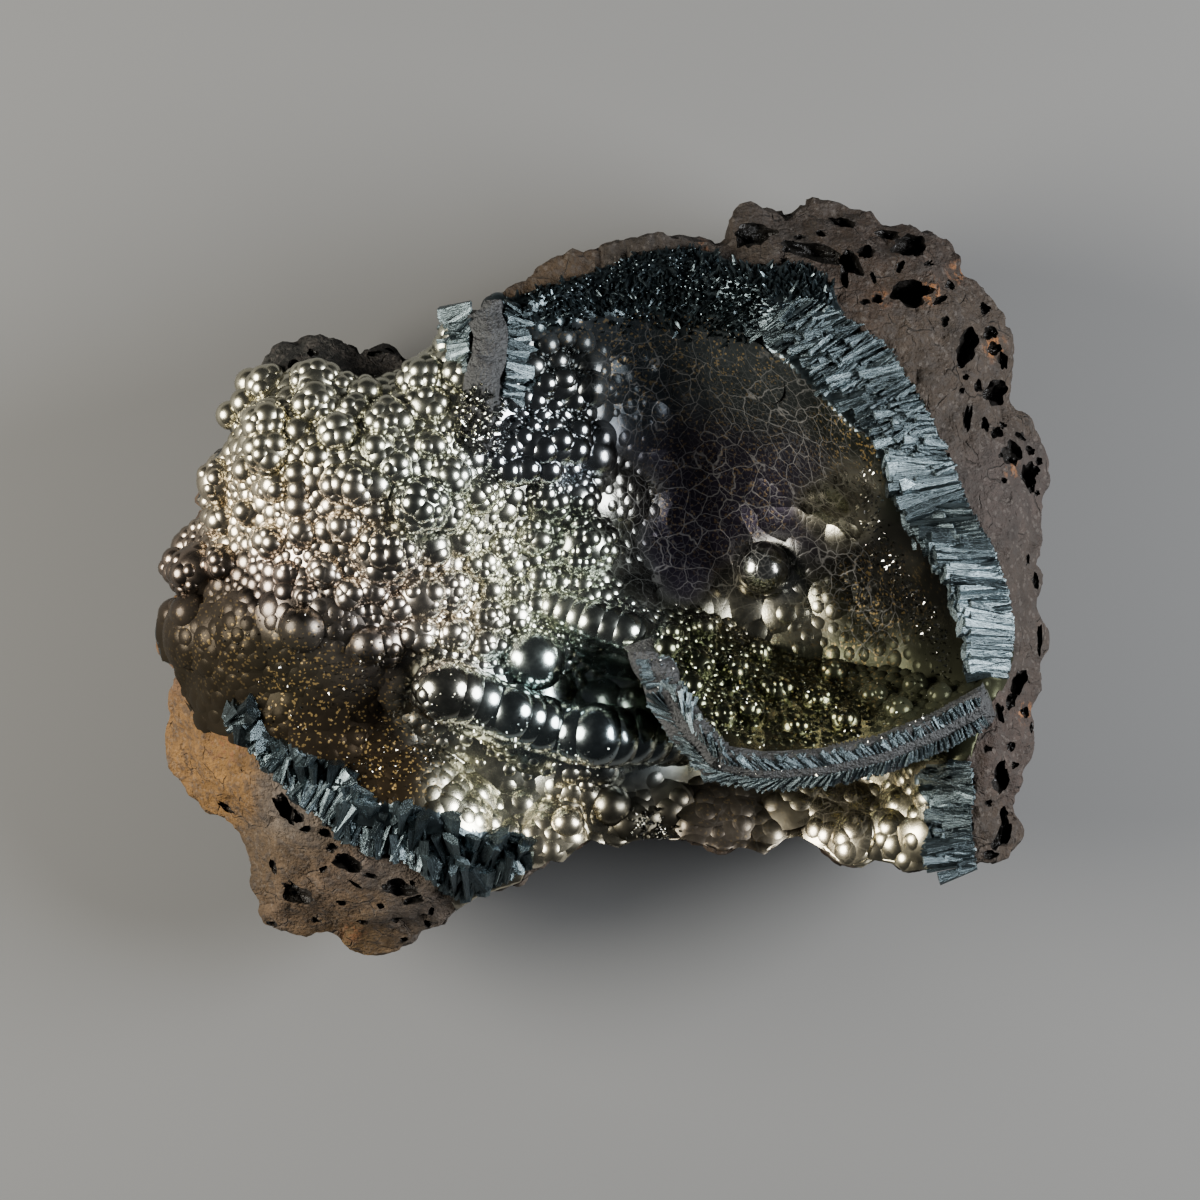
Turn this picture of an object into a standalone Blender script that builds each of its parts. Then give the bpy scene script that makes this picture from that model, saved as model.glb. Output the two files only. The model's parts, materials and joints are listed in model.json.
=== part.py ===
"""A broken slab of goethite lying on its back: a grape-like crust on porous brown limonite.

The rock lies on a flat patch of its back with the crust up. The frame is metres, +Z up, with
the origin under the middle of the rock, +X to the picture's right and +Y to its top. Plan
positions are read from a photograph taken straight down on the crust and written as picture
points, which on_plan turns into millimetres. Heights, widths and depths are real sizes in mm.
"""

import math

import bmesh
import bpy
import numpy as np
from mathutils import Matrix, Vector, noise

MM = 0.001

ROCK_LENGTH = 120.0
PICTURE_LENGTH = 899.0
MM_PER_POINT = ROCK_LENGTH / PICTURE_LENGTH
PICTURE_MIDDLE = (600.5, 578.5)

CRUST_THICKNESS = 8.5
CRUST_GAP = 0.6
LEDGE_THICKNESS = 5.0
CURTAIN_THICKNESS = 9.0
SPLINTER_WIDTH = 2.0
SPLINTER_DEPTH = 1.6

BODY_VOXEL = 1.3
ROCK_VOXEL = 0.7
SEPARATOR_VOXEL = 4.4
CRUST_TRIANGLES = 5800
MATRIX_TRIANGLES = 3800

WAIST_SHARE = 0.6
BACK_SHRINK = 0.15
EDGE_DROP = 3.0
EDGE_WIDTH = 5.0
EDGE_GROWTH = 0.5
REST_MARGIN = 9.0
BACK_RISE = 4.5

# The rock's outline on plan, clockwise from the left of the small bead at the upper left.
ROCK_OUTLINE = [
    (223, 413), (233, 393), (250, 374), (262, 369), (268, 352), (277, 346), (296, 346), (318, 336),
    (336, 345), (358, 359), (368, 351), (386, 352), (401, 359), (425, 357), (440, 335), (458, 322),
    (484, 312), (490, 299), (511, 289), (534, 276), (556, 263), (588, 254), (620, 244), (648, 237),
    (664, 234), (692, 243), (730, 243), (735, 222), (745, 212), (779, 210), (796, 214), (812, 199),
    (832, 203), (870, 211), (886, 225), (914, 221), (936, 232), (952, 246), (961, 268), (978, 281),
    (1003, 315), (1013, 340), (1006, 362), (1010, 378), (1008, 410), (1029, 422), (1044, 450),
    (1045, 490), (1036, 562), (1044, 578), (1034, 605), (1038, 621), (1050, 634), (1034, 660),
    (1041, 685), (1027, 708), (1031, 742), (1012, 795), (1006, 812), (1022, 835), (1012, 851),
    (980, 861), (945, 867), (900, 866), (875, 858), (860, 866), (838, 861), (815, 842), (798, 835),
    (765, 853), (740, 846), (724, 851), (690, 838), (645, 838), (618, 847), (592, 838), (575, 848),
    (560, 860), (530, 868), (520, 883), (482, 894), (456, 910), (436, 931), (410, 942), (386, 956),
    (352, 959), (330, 938), (298, 940), (270, 933), (256, 930), (252, 898), (242, 860), (228, 828),
    (200, 815), (180, 785), (163, 757), (164, 715), (172, 668), (155, 650), (151, 630), (160, 607),
    (180, 600), (178, 590), (157, 568), (174, 551), (176, 535), (200, 515), (205, 504), (196, 496),
    (204, 468), (222, 449), (234, 428),
]

# Where the dark crust ends on the brown matrix, carried well past the rock's own edge.
CRUST_OUTLINE = [
    (130, 670), (166, 667), (178, 700), (196, 725), (215, 737), (246, 738), (264, 750), (274, 768),
    (288, 788), (303, 803), (325, 822), (342, 842), (375, 853), (402, 853), (432, 866), (441, 885),
    (450, 903), (462, 935), (560, 920), (760, 920), (972, 930), (974, 862), (969, 835), (970, 805),
    (966, 765), (974, 735), (990, 707), (1008, 677), (1014, 650), (1008, 620), (1006, 590),
    (990, 548), (962, 505), (946, 466), (930, 424), (918, 396), (900, 368), (880, 344), (852, 325),
    (832, 306), (834, 284), (806, 264), (765, 269), (738, 268), (716, 253), (690, 248), (640, 252),
    (612, 265), (580, 277), (540, 287), (508, 302), (484, 290), (455, 262), (400, 300), (424, 350),
    (400, 372), (366, 381), (340, 371), (300, 370), (264, 374), (232, 350), (180, 380), (120, 560),
]

# Heights of the front face above the table in mm: picture point, then height.
BROKEN_RIM = [
    (510, 290, 40), (580, 265, 40), (660, 248, 40), (735, 250, 39), (760, 300, 43), (820, 225, 34),
    (830, 300, 43), (900, 240, 35), (920, 330, 42), (985, 320, 36), (1000, 430, 40),
    (870, 380, 45), (935, 430, 45), (920, 520, 45), (980, 500, 44), (1030, 500, 39),
    (1025, 600, 40), (980, 600, 45), (1030, 690, 38), (1000, 740, 42), (945, 760, 41),
    (1010, 840, 37), (950, 850, 40), (800, 375, 45), (850, 430, 46), (885, 490, 46),
    (925, 560, 46), (956, 635, 45),
]
HOLLOW = [
    (600, 300, 36), (660, 290, 36), (720, 320, 37), (640, 350, 31), (700, 370, 30), (750, 370, 38),
    (790, 430, 34), (850, 505, 33), (880, 560, 32), (908, 612, 33), (930, 655, 36), (800, 480, 30),
    (755, 450, 27), (700, 440, 25), (645, 420, 28), (650, 500, 24), (700, 520, 22), (750, 520, 23),
    (800, 550, 26), (850, 600, 27), (760, 600, 25), (700, 600, 26), (645, 570, 27), (602, 480, 31),
    (880, 650, 31), (820, 650, 27),
]
LEFT_SWELL = [
    (240, 390, 34), (300, 370, 36), (320, 350, 35), (380, 365, 35), (420, 375, 39), (455, 340, 42),
    (270, 440, 41), (340, 440, 44), (400, 440, 45), (450, 430, 43), (495, 430, 40), (545, 420, 36),
    (220, 480, 34), (290, 500, 42), (350, 500, 45), (410, 510, 45), (460, 520, 41), (500, 500, 38),
    (540, 520, 35), (590, 540, 32), (228, 530, 34), (300, 560, 41), (370, 560, 43), (430, 580, 41),
    (480, 570, 37), (520, 580, 35), (560, 590, 34), (180, 570, 30),
]
CENTRE = [
    (450, 620, 40), (490, 640, 38), (540, 640, 35), (600, 610, 35), (640, 640, 35), (600, 680, 30),
    (560, 700, 34), (450, 690, 40), (520, 715, 38), (600, 740, 36), (660, 730, 32), (640, 690, 30),
]
LOWER_LEFT = [
    (170, 630, 31), (230, 630, 37), (290, 630, 41), (350, 640, 42), (400, 650, 41), (330, 690, 39),
    (270, 690, 37), (215, 690, 34), (380, 722, 35), (430, 740, 34), (360, 770, 37), (420, 780, 37),
    (290, 740, 37), (300, 790, 38), (345, 805, 38), (400, 830, 37), (450, 850, 36), (500, 862, 35),
]
LOWER_LINING = [
    (470, 760, 32), (500, 800, 32), (462, 815, 37), (540, 790, 31), (560, 840, 35), (620, 790, 29),
    (620, 832, 33), (690, 780, 26), (700, 828, 32), (760, 800, 26), (760, 840, 33), (820, 790, 27),
    (830, 832, 33), (880, 790, 29), (880, 845, 36), (700, 680, 25), (760, 690, 26), (820, 700, 27),
    (880, 700, 30), (925, 695, 36),
]
TAIL = [
    (180, 720, 28), (172, 765, 25), (220, 780, 30), (250, 830, 30), (300, 870, 32), (265, 905, 26),
    (350, 900, 31), (420, 895, 33), (400, 935, 27), (345, 945, 25), (455, 893, 33),
]

# The ledge rises from a root on the hollow's floor to a broken front edge above its lower lining.
LEDGE_EDGE = [
    (650, 652, 41), (664, 690, 43.5), (684, 728, 45.5), (716, 764, 47), (760, 772, 47.5),
    (820, 768, 47.5), (880, 755, 47), (935, 733, 46), (985, 706, 44.5),
]
LEDGE_ROOT = [
    (606, 612, 32), (634, 606, 28), (676, 608, 24), (720, 616, 21), (765, 640, 20),
    (820, 655, 21), (880, 664, 24), (935, 672, 29), (985, 676, 36),
]
# Beads on the ledge: share of the way along it, share down from its edge, radius in points.
LEDGE_BEADS = [
    (0.10, 0.30, 14), (0.17, 0.55, 16), (0.22, 0.20, 14), (0.28, 0.45, 18), (0.30, 0.75, 16),
    (0.36, 0.22, 15), (0.40, 0.55, 19), (0.45, 0.30, 16), (0.47, 0.75, 15), (0.53, 0.50, 19),
    (0.57, 0.22, 16), (0.62, 0.45, 18), (0.66, 0.70, 15), (0.68, 0.24, 16), (0.74, 0.46, 16),
    (0.80, 0.25, 15), (0.84, 0.52, 14), (0.90, 0.30, 13),
]
# The curtain between the swell and the hollow, broken off level with the swell.
CURTAIN_EDGE = [(486, 302, 41), (490, 330, 43), (488, 362, 44), (480, 400, 44.5), (476, 448, 43)]
CURTAIN_ROOT = [(486, 302, 26), (490, 330, 26), (492, 362, 26), (490, 400, 27), (486, 448, 28)]

# Bands of broken fibre between the dark skin and the brown matrix: skin side, matrix side.
FIBRE_BANDS = [
    (
        [(792, 366), (826, 400), (852, 428), (874, 452), (887, 490), (905, 525), (927, 558),
         (948, 592), (958, 625), (962, 668)],
        [(846, 326), (882, 346), (908, 384), (926, 416), (942, 458), (964, 506), (986, 544),
         (1004, 585), (1008, 625), (1008, 668)],
        26,
    ),
    (
        [(262, 706), (276, 742), (318, 760), (348, 772), (372, 802), (408, 806), (440, 814),
         (474, 834), (516, 838)],
        [(226, 736), (252, 744), (282, 780), (308, 808), (342, 840), (376, 852), (408, 856),
         (446, 890), (512, 880)],
        22,
    ),
    (
        [(926, 770), (922, 800), (926, 832), (922, 862)],
        [(966, 768), (968, 800), (966, 832), (970, 862)],
        7,
    ),
]

# Round lumps: picture point, radius in points, and how much of the radius stands out.
SWELL_LUMPS = [
    (228, 414, 12, 1.0), (248, 382, 13, 0.9), (244, 402, 13, 0.9), (268, 385, 18, 1.0),
    (316, 384, 21, 1.0), (316, 408, 20, 1.0), (270, 428, 21, 1.1), (271, 451, 21, 1.2),
    (301, 432, 13, 0.8), (342, 436, 18, 1.1), (354, 416, 17, 0.9), (340, 392, 17, 0.6),
    (367, 396, 15, 0.9), (390, 424, 21, 1.1), (425, 384, 23, 1.1), (428, 408, 20, 0.9),
    (404, 408, 13, 0.9), (380, 450, 16, 0.9), (396, 468, 14, 1.0), (218, 481, 19, 1.1),
    (246, 470, 12, 0.8), (278, 486, 15, 0.9), (300, 474, 12, 1.0), (302, 490, 12, 1.0),
    (301, 506, 13, 1.1), (320, 458, 12, 0.8), (343, 486, 18, 1.1), (360, 484, 21, 1.3),
    (376, 486, 17, 1.1), (376, 512, 11, 0.9), (348, 526, 17, 1.0), (330, 528, 13, 0.8),
    (306, 532, 14, 0.9), (420, 504, 25, 1.2), (446, 512, 18, 0.9), (446, 478, 21, 0.9),
    (478, 492, 20, 0.8), (388, 552, 28, 1.2), (406, 566, 18, 0.9), (432, 546, 17, 0.8),
    (276, 540, 17, 0.8), (224, 520, 18, 0.7), (252, 512, 14, 0.7), (196, 572, 24, 0.9),
    (176, 568, 16, 0.9), (224, 564, 18, 0.8), (289, 574, 13, 0.9), (289, 592, 12, 0.8),
    (328, 572, 16, 0.9), (308, 596, 14, 0.7), (352, 594, 14, 0.9), (374, 588, 15, 0.9),
    (398, 606, 15, 0.9), (422, 596, 22, 1.0), (446, 592, 20, 1.0), (420, 632, 18, 0.8),
    (386, 642, 20, 0.7), (452, 636, 17, 0.8), (480, 566, 20, 0.7), (490, 590, 16, 0.7),
    (486, 618, 20, 0.8), (513, 616, 18, 0.9), (482, 646, 18, 0.7), (504, 552, 16, 0.7),
    (532, 604, 16, 0.8), (458, 540, 16, 0.7), (462, 376, 15, 0.8), (430, 448, 15, 0.8),
    (532, 536, 20, 0.8), (583, 545, 31, 1.0), (556, 552, 16, 0.7), (546, 500, 26, 0.8),
    (572, 498, 24, 0.8),
]
BULB_LUMPS = [
    (538, 388, 22, 0.9), (560, 386, 23, 1.2), (584, 388, 23, 1.4), (590, 366, 17, 1.2),
    (558, 362, 15, 1.0), (524, 398, 15, 0.9), (512, 445, 19, 1.0), (532, 446, 23, 1.2),
    (556, 446, 25, 1.4), (574, 440, 21, 1.4), (542, 468, 19, 1.3), (514, 470, 19, 1.2),
    (496, 466, 14, 0.9),
]
RIDGE_LUMPS = [
    (448, 690, 33, 1.4), (480, 702, 27, 1.3), (508, 713, 27, 1.3), (538, 723, 28, 1.3),
    (570, 733, 30, 1.3), (602, 736, 32, 1.4), (634, 736, 27, 1.2), (660, 742, 22, 1.0),
    (684, 748, 16, 0.8), (533, 660, 33, 1.2), (556, 608, 18, 1.0), (576, 616, 20, 1.1),
    (598, 624, 22, 1.2), (620, 630, 24, 1.2), (644, 640, 20, 1.1),
]
LOWER_LEFT_LUMPS = [
    (174, 628, 24, 0.8), (228, 640, 28, 0.7), (262, 645, 26, 0.7), (318, 638, 30, 0.5),
    (352, 668, 30, 0.6), (388, 692, 26, 0.5), (288, 708, 28, 0.6), (326, 732, 28, 0.7),
    (368, 752, 32, 0.8), (412, 772, 34, 1.0), (440, 786, 24, 0.8), (430, 728, 18, 0.8),
]
HOLLOW_LUMPS = [
    (766, 568, 28, 1.3), (614, 334, 26, 0.5), (690, 398, 30, 0.5), (664, 426, 22, 0.4),
    (620, 492, 32, 0.5), (660, 522, 44, 0.3), (742, 480, 40, 0.4), (838, 500, 30, 0.6),
    (800, 516, 38, 0.4), (848, 552, 32, 0.5), (840, 602, 32, 0.4), (792, 618, 26, 0.5),
    (742, 614, 20, 0.5), (706, 598, 22, 0.5), (885, 590, 38, 0.4), (622, 438, 24, 0.4),
    (500, 790, 30, 0.6), (480, 768, 20, 0.6), (548, 822, 34, 0.6), (590, 802, 24, 0.6),
    (614, 828, 22, 0.6), (740, 828, 28, 0.4), (800, 802, 32, 0.6), (858, 796, 24, 0.6),
    (844, 834, 30, 0.7), (904, 820, 24, 0.8),
]

# Open pits in the matrix: picture point, half length, half width, turn in degrees, depth.
MATRIX_PITS = [
    (752, 234, 22, 12, 15, 5), (812, 252, 28, 9, -14, 5), (850, 262, 14, 10, -60, 5),
    (908, 244, 18, 12, 20, 5), (910, 294, 25, 13, 5, 7), (968, 345, 20, 10, 65, 6),
    (994, 392, 17, 13, 45, 6), (1012, 454, 11, 13, 20, 5), (1030, 476, 9, 14, 10, 5),
    (1018, 682, 9, 17, -25, 5), (1000, 778, 10, 16, -10, 5), (1002, 838, 14, 9, 60, 4),
    (284, 808, 17, 9, -45, 5), (345, 862, 16, 9, -25, 4), (292, 896, 18, 12, -30, 4),
    (398, 890, 18, 9, -5, 4),
]
# Fracture faces that cut the sides below the front: compass angle, lean, distance in mm.
FRACTURE_FACES = [
    (8, 38, 49), (52, 44, 48), (98, 34, 43), (140, 46, 42), (176, 32, 50), (214, 42, 49),
    (238, 34, 47), (272, 40, 39), (318, 46, 47), (340, 34, 51),
]


def on_plan(points):
    """Picture points as X and Y in mm from the middle of the rock."""
    points = np.asarray(points, float)
    x = (points[..., 0] - PICTURE_MIDDLE[0]) * MM_PER_POINT
    y = (PICTURE_MIDDLE[1] - points[..., 1]) * MM_PER_POINT
    return np.stack([x, y], axis=-1)


def smooth_step(share):
    share = np.clip(share, 0.0, 1.0)
    return share * share * (3.0 - 2.0 * share)


def thin_plate(posts):
    """The smoothest sheet through all the height posts, as a function of plan points."""
    posts = np.array(posts, float)
    plan, height = on_plan(posts[:, :2]), posts[:, 2]
    count = len(posts)

    def bend(a, b):
        square = ((a[:, None, :] - b[None, :, :]) ** 2).sum(axis=2)
        return square * np.log(square + 1e-9)

    system = np.zeros((count + 3, count + 3))
    system[:count, :count] = bend(plan, plan) + np.eye(count) * 4.0
    system[:count, count:] = np.column_stack([np.ones(count), plan])
    system[count:, :count] = system[:count, count:].T
    weights = np.linalg.solve(system, np.concatenate([height, np.zeros(3)]))

    def sheet(points):
        level = np.column_stack([np.ones(len(points)), points]) @ weights[count:]
        return bend(points, plan) @ weights[:count] + level

    return sheet


def edge_distance(points, outline):
    """How far each plan point is from the outline, in mm."""
    start = on_plan(outline)
    run = np.roll(start, -1, axis=0) - start
    nearest = np.full(len(points), np.inf)
    for a, ab in zip(start, run):
        along = np.clip((points - a) @ ab / (ab @ ab), 0.0, 1.0)
        gap = points - a - along[:, None] * ab
        nearest = np.minimum(nearest, np.hypot(gap[:, 0], gap[:, 1]))
    return nearest


front_sheet = thin_plate(
    BROKEN_RIM + HOLLOW + LEFT_SWELL + CENTRE + LOWER_LEFT + LOWER_LINING + TAIL
)


def front_height(points):
    """Height of the front face, falling away where it meets the rock's broken edge."""
    inset = edge_distance(points, ROCK_OUTLINE)
    return front_sheet(points) - EDGE_DROP * (1.0 - smooth_step(inset / EDGE_WIDTH))


def coordinates(mesh):
    values = np.empty(len(mesh.vertices) * 3)
    mesh.vertices.foreach_get("co", values)
    return values.reshape(-1, 3)


def set_coordinates(mesh, values):
    mesh.vertices.foreach_set("co", np.ascontiguousarray(values, np.float32).ravel())
    mesh.update()


def collection(name):
    made = bpy.data.collections.new(name)
    bpy.context.scene.collection.children.link(made)
    return made


def add_object(name, mesh, home):
    made = bpy.data.objects.new(name, mesh)
    home.objects.link(made)
    return made


def baked(obj):
    """Replaces an object by the plain mesh that its modifiers, or its curve, make."""
    graph = bpy.context.evaluated_depsgraph_get()
    mesh = bpy.data.meshes.new_from_object(obj.evaluated_get(graph))
    mesh.transform(obj.matrix_world)
    home = obj.users_collection[0]
    name = obj.name
    bpy.data.objects.remove(obj)
    mesh.name = name
    return add_object(name, mesh, home)


def remeshed(obj, voxel):
    modifier = obj.modifiers.new("fuse", "REMESH")
    modifier.mode = "VOXEL"
    modifier.voxel_size = voxel * MM
    return baked(obj)


def plan_block(name, outline, home, voxel, growth=0.0):
    """A block on the outline cut into even small faces, with each point's share of its height."""
    tall = 40.0
    curve = bpy.data.curves.new(name, "CURVE")
    curve.dimensions = "2D"
    curve.fill_mode = "BOTH"
    curve.extrude = tall / 2 * MM
    curve.offset = growth * MM
    spline = curve.splines.new("POLY")
    plan = on_plan(outline) * MM
    spline.points.add(len(plan) - 1)
    for point, (x, y) in zip(spline.points, plan):
        point.co = (x, y, 0.0, 1.0)
    spline.use_cyclic_u = True
    block = baked(add_object(name, curve, home))
    welded(block.data)
    block = remeshed(block, voxel)
    values = coordinates(block.data)
    values[:, 2] = np.clip(values[:, 2] / (tall * MM) + 0.5, 0.0, 1.0)
    return block, values


def welded(mesh):
    cage = bmesh.new()
    cage.from_mesh(mesh)
    bmesh.ops.remove_doubles(cage, verts=cage.verts, dist=1e-6)
    bmesh.ops.recalc_face_normals(cage, faces=cage.faces)
    cage.to_mesh(mesh)
    cage.free()


def rough_back(points):
    """Height of the underside: flat in the middle, rising unevenly at the margin."""
    inset = edge_distance(points, ROCK_OUTLINE)
    rise = BACK_RISE * (1.0 - smooth_step(inset / REST_MARGIN)) ** 1.5
    wave = np.array([noise.noise(Vector((x / 9.0, y / 9.0, 3.0))) for x, y in points])
    return rise * (1.0 + 0.7 * wave)


def rock_body(home):
    """The slab without its lumps: plan outline, front relief, and sides drawn in to the back."""
    body, values = plan_block("rock", ROCK_OUTLINE, home, BODY_VOXEL, EDGE_GROWTH)
    plan, share = values[:, :2] / MM, values[:, 2].copy()
    low = rough_back(plan)
    values[:, 2] = (low + share * (front_height(plan) - low)) * MM
    draw_in = np.clip(1.0 - share / WAIST_SHARE, 0.0, 1.0) ** 2
    values[:, :2] *= (1.0 - BACK_SHRINK * draw_in)[:, None]
    for angle, lean, distance in FRACTURE_FACES:
        angle, lean = math.radians(angle), math.radians(lean)
        facing = (math.cos(angle) * math.cos(lean), math.sin(angle) * math.cos(lean), -math.sin(lean))
        facing = np.array(facing)
        beyond = np.maximum(values @ facing - distance * math.cos(lean) * MM, 0.0)
        below_front = smooth_step((0.8 - share) / 0.3)
        values -= (beyond * below_front)[:, None] * facing
    set_coordinates(body.data, values)
    return body


def sheet_places(edge, root, along, down):
    """Points in mm on the surface stretched from an edge path to a root path."""
    rows = []
    for path in (edge, root):
        path = np.array(path, float)
        path = np.column_stack([on_plan(path[:, :2]), path[:, 2]])
        place = np.asarray(along) * (len(path) - 1)
        columns = [np.interp(place, range(len(path)), path[:, axis]) for axis in range(3)]
        rows.append(np.column_stack(columns))
    down = np.asarray(down)[:, None]
    return rows[0] * (1.0 - down) + rows[1] * down


def standing_sheet(name, edge, root, thickness, home):
    """A plate that stands on the crust, from its broken edge down to its root."""
    cage = bmesh.new()
    bmesh.ops.create_grid(cage, x_segments=4 * (len(edge) - 1), y_segments=10, size=0.5)
    mesh = bpy.data.meshes.new(name)
    cage.to_mesh(mesh)
    cage.free()
    values = coordinates(mesh)
    set_coordinates(mesh, sheet_places(edge, root, values[:, 0] + 0.5, 0.5 - values[:, 1]) * MM)
    sheet = add_object(name, mesh, home)
    modifier = sheet.modifiers.new("thickness", "SOLIDIFY")
    modifier.thickness = thickness * MM
    modifier.offset = 0.0
    sheet = baked(sheet)
    welded(sheet.data)
    return sheet


def ledge_beads(home):
    """Balls half sunk in the upper side of the ledge."""
    along, down, radius = np.array(LEDGE_BEADS).T
    places = sheet_places(LEDGE_EDGE, LEDGE_ROOT, along, down)
    ahead = sheet_places(LEDGE_EDGE, LEDGE_ROOT, along + 0.01, down) - places
    below = sheet_places(LEDGE_EDGE, LEDGE_ROOT, along, down + 0.01) - places
    normals = np.cross(below, ahead)
    normals *= np.sign(normals[:, 2:]) / np.linalg.norm(normals, axis=1, keepdims=True)
    places += normals * LEDGE_THICKNESS / 2
    return [lump("bead", p, r * MM_PER_POINT, home) for p, r in zip(places, radius)]


def fibre_splinters(home):
    """Long thin splinters side by side across each band of broken fibre."""
    made = []
    for inner, outer, count in FIBRE_BANDS:
        for i in range(count):
            share = (i + 0.5) / count
            ends = []
            for path in (inner, outer):
                path = on_plan(path)
                place = share * (len(path) - 1)
                ends.append([np.interp(place, range(len(path)), path[:, k]) for k in (0, 1)])
            ends = np.array(ends)
            middle, run = ends.mean(axis=0), ends[1] - ends[0]
            level = front_height(middle[None, :])[0] + 0.35 * (i % 3)
            half_sizes = (np.hypot(*run) * 0.52, SPLINTER_WIDTH / 2, SPLINTER_DEPTH / 2)
            splinter = lump("splinter", (0.0, 0.0, 0.0), 1.0, home)
            turn = Matrix.Rotation(math.atan2(run[1], run[0]), 4, "Z")
            splinter.data.transform(turn @ Matrix.Diagonal((*half_sizes, 1.0)))
            splinter.data.transform(Matrix.Translation(Vector((*middle, level)) * MM))
            made.append(splinter)
    return made


def lump(name, centre, radius, home):
    cage = bmesh.new()
    bmesh.ops.create_icosphere(cage, subdivisions=3, radius=radius * MM)
    bmesh.ops.translate(cage, verts=cage.verts, vec=Vector(centre) * MM)
    mesh = bpy.data.meshes.new(name)
    cage.to_mesh(mesh)
    cage.free()
    return add_object(name, mesh, home)


def lumps_on_front(table, home):
    """Balls sunk in the front face, so that the stated share of each radius stands out."""
    made = []
    plan = on_plan([row[:2] for row in table])
    floor = front_height(plan)
    for (x, y), level, row in zip(plan, floor, table):
        radius = row[2] * MM_PER_POINT
        made.append(lump("lump", (x, y, level - radius * (1.0 - row[3])), radius, home))
    return made


def joined(objects, name):
    with bpy.context.temp_override(
        active_object=objects[0], selected_editable_objects=objects, selected_objects=objects
    ):
        bpy.ops.object.join()
    objects[0].name = name
    return objects[0]


def roughened(obj):
    """Breaks up the sides and back like a fracture, and leaves the crust and the rest flat."""
    values = coordinates(obj.data) / MM
    normals = np.array([tuple(v.normal) for v in obj.data.vertices])
    open_rock = 1.0 - on_crust(values[:, :2])
    side = np.maximum(open_rock, smooth_step((0.5 - normals[:, 2]) / 0.6))
    flat = (values[:, 2] < 0.3) & (normals[:, 2] < -0.8)
    size = 0.9 * side * ~flat
    for i in np.flatnonzero(size > 0.01):
        place = Vector(values[i]) / 5.0
        push = noise.noise(place) + 0.5 * noise.noise(place * 2.3)
        values[i] += normals[i] * push * size[i]
    set_coordinates(obj.data, values * MM)


def on_crust(points):
    """1 on plan points inside the crust's outline, 0 outside."""
    corners = on_plan(CRUST_OUTLINE)
    inside = np.zeros(len(points), bool)
    for (ax, ay), (bx, by) in zip(corners, np.roll(corners, -1, axis=0)):
        crosses = (ay > points[:, 1]) != (by > points[:, 1])
        reach = ax + (points[:, 1] - ay) * (bx - ax) / (by - ay if by != ay else 1e-9)
        inside ^= crosses & (points[:, 0] < reach)
    return inside.astype(float)


def matrix_pits(home):
    """Squashed balls that open the pits of the porous rim."""
    made = []
    plan = on_plan([row[:2] for row in MATRIX_PITS])
    for (x, y), level, row in zip(plan, front_height(plan), MATRIX_PITS):
        _, _, length, width, turn, depth = row
        pit = lump("pit", (0.0, 0.0, 0.0), 1.0, home)
        scale = Matrix.Diagonal((length * MM_PER_POINT, width * MM_PER_POINT, depth, 1.0))
        pit.data.transform(Matrix.Rotation(math.radians(turn), 4, "Z") @ scale)
        pit.data.transform(Matrix.Translation(Vector((x, y, level + 0.5)) * MM))
        made.append(pit)
    return remeshed(joined(made, "pits"), 0.8)


def combined(obj, other, operation):
    """A Boolean of two closed meshes; the default solver leaves open edges in these cuts."""
    modifier = obj.modifiers.new(operation.lower(), "BOOLEAN")
    modifier.operation = operation
    modifier.object = other
    modifier.solver = "MANIFOLD"
    return baked(obj)


def thinned(obj, triangles):
    """Merges the smallest faces until the mesh has the wanted number of triangles."""
    obj.data.calc_loop_triangles()
    modifier = obj.modifiers.new("thin", "DECIMATE")
    modifier.ratio = triangles / len(obj.data.loop_triangles)
    modifier.use_collapse_triangulate = True
    return baked(obj)


def crust_separator(home):
    """Everything above the back of the crust, inside the crust's outline."""
    block, values = plan_block("separator", CRUST_OUTLINE, home, SEPARATOR_VOXEL)
    plan, share = values[:, :2] / MM, values[:, 2].copy()
    low = front_sheet(plan) - CRUST_THICKNESS
    values[:, 2] = (low + share * (75.0 - low)) * MM
    set_coordinates(block.data, values)
    modifier = block.modifiers.new("round the corners", "SMOOTH")
    modifier.factor = 0.5
    modifier.iterations = 8
    return baked(block)


def largest_piece(obj):
    """Keeps the main body and drops crumbs that the parting cut leaves loose."""
    cage = bmesh.new()
    cage.from_mesh(obj.data)
    seen = set()
    bodies = []
    for start in cage.verts:
        if start in seen:
            continue
        body, front = {start}, [start]
        while front:
            vertex = front.pop()
            for edge in vertex.link_edges:
                other = edge.other_vert(vertex)
                if other not in body:
                    body.add(other)
                    front.append(other)
        seen |= body
        bodies.append(body)
    bodies.sort(key=len, reverse=True)
    crumbs = [vertex for body in bodies[1:] for vertex in body]
    bmesh.ops.delete(cage, geom=crumbs, context="VERTS")
    cage.to_mesh(obj.data)
    cage.free()
    return obj


def stone(name, colour, roughness, metallic):
    made = bpy.data.materials.new(name)
    made.use_nodes = True
    shader = made.node_tree.nodes["Principled BSDF"]
    shader.inputs["Base Color"].default_value = (*colour, 1.0)
    shader.inputs["Roughness"].default_value = roughness
    shader.inputs["Metallic"].default_value = metallic
    return made


def levelled(obj):
    """Makes the middle of the back one true plane, the face that the rock rests on."""
    values = coordinates(obj.data)
    low = values[:, 2] < 0.3 * MM
    values[low, 2] = 0.0
    set_coordinates(obj.data, values)


def centred(objects):
    """Moves the rock so that the middle of its footprint is the origin."""
    values = np.concatenate([coordinates(obj.data) for obj in objects])
    middle = (values.max(axis=0) + values.min(axis=0)) / 2
    for obj in objects:
        obj.data.transform(Matrix.Translation((-middle[0], -middle[1], 0.0)))


def finish(obj, name, material):
    obj.name = name
    obj.data.name = name
    obj.data.materials.clear()
    obj.data.materials.append(material)
    for face in obj.data.polygons:
        face.material_index = 0


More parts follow.
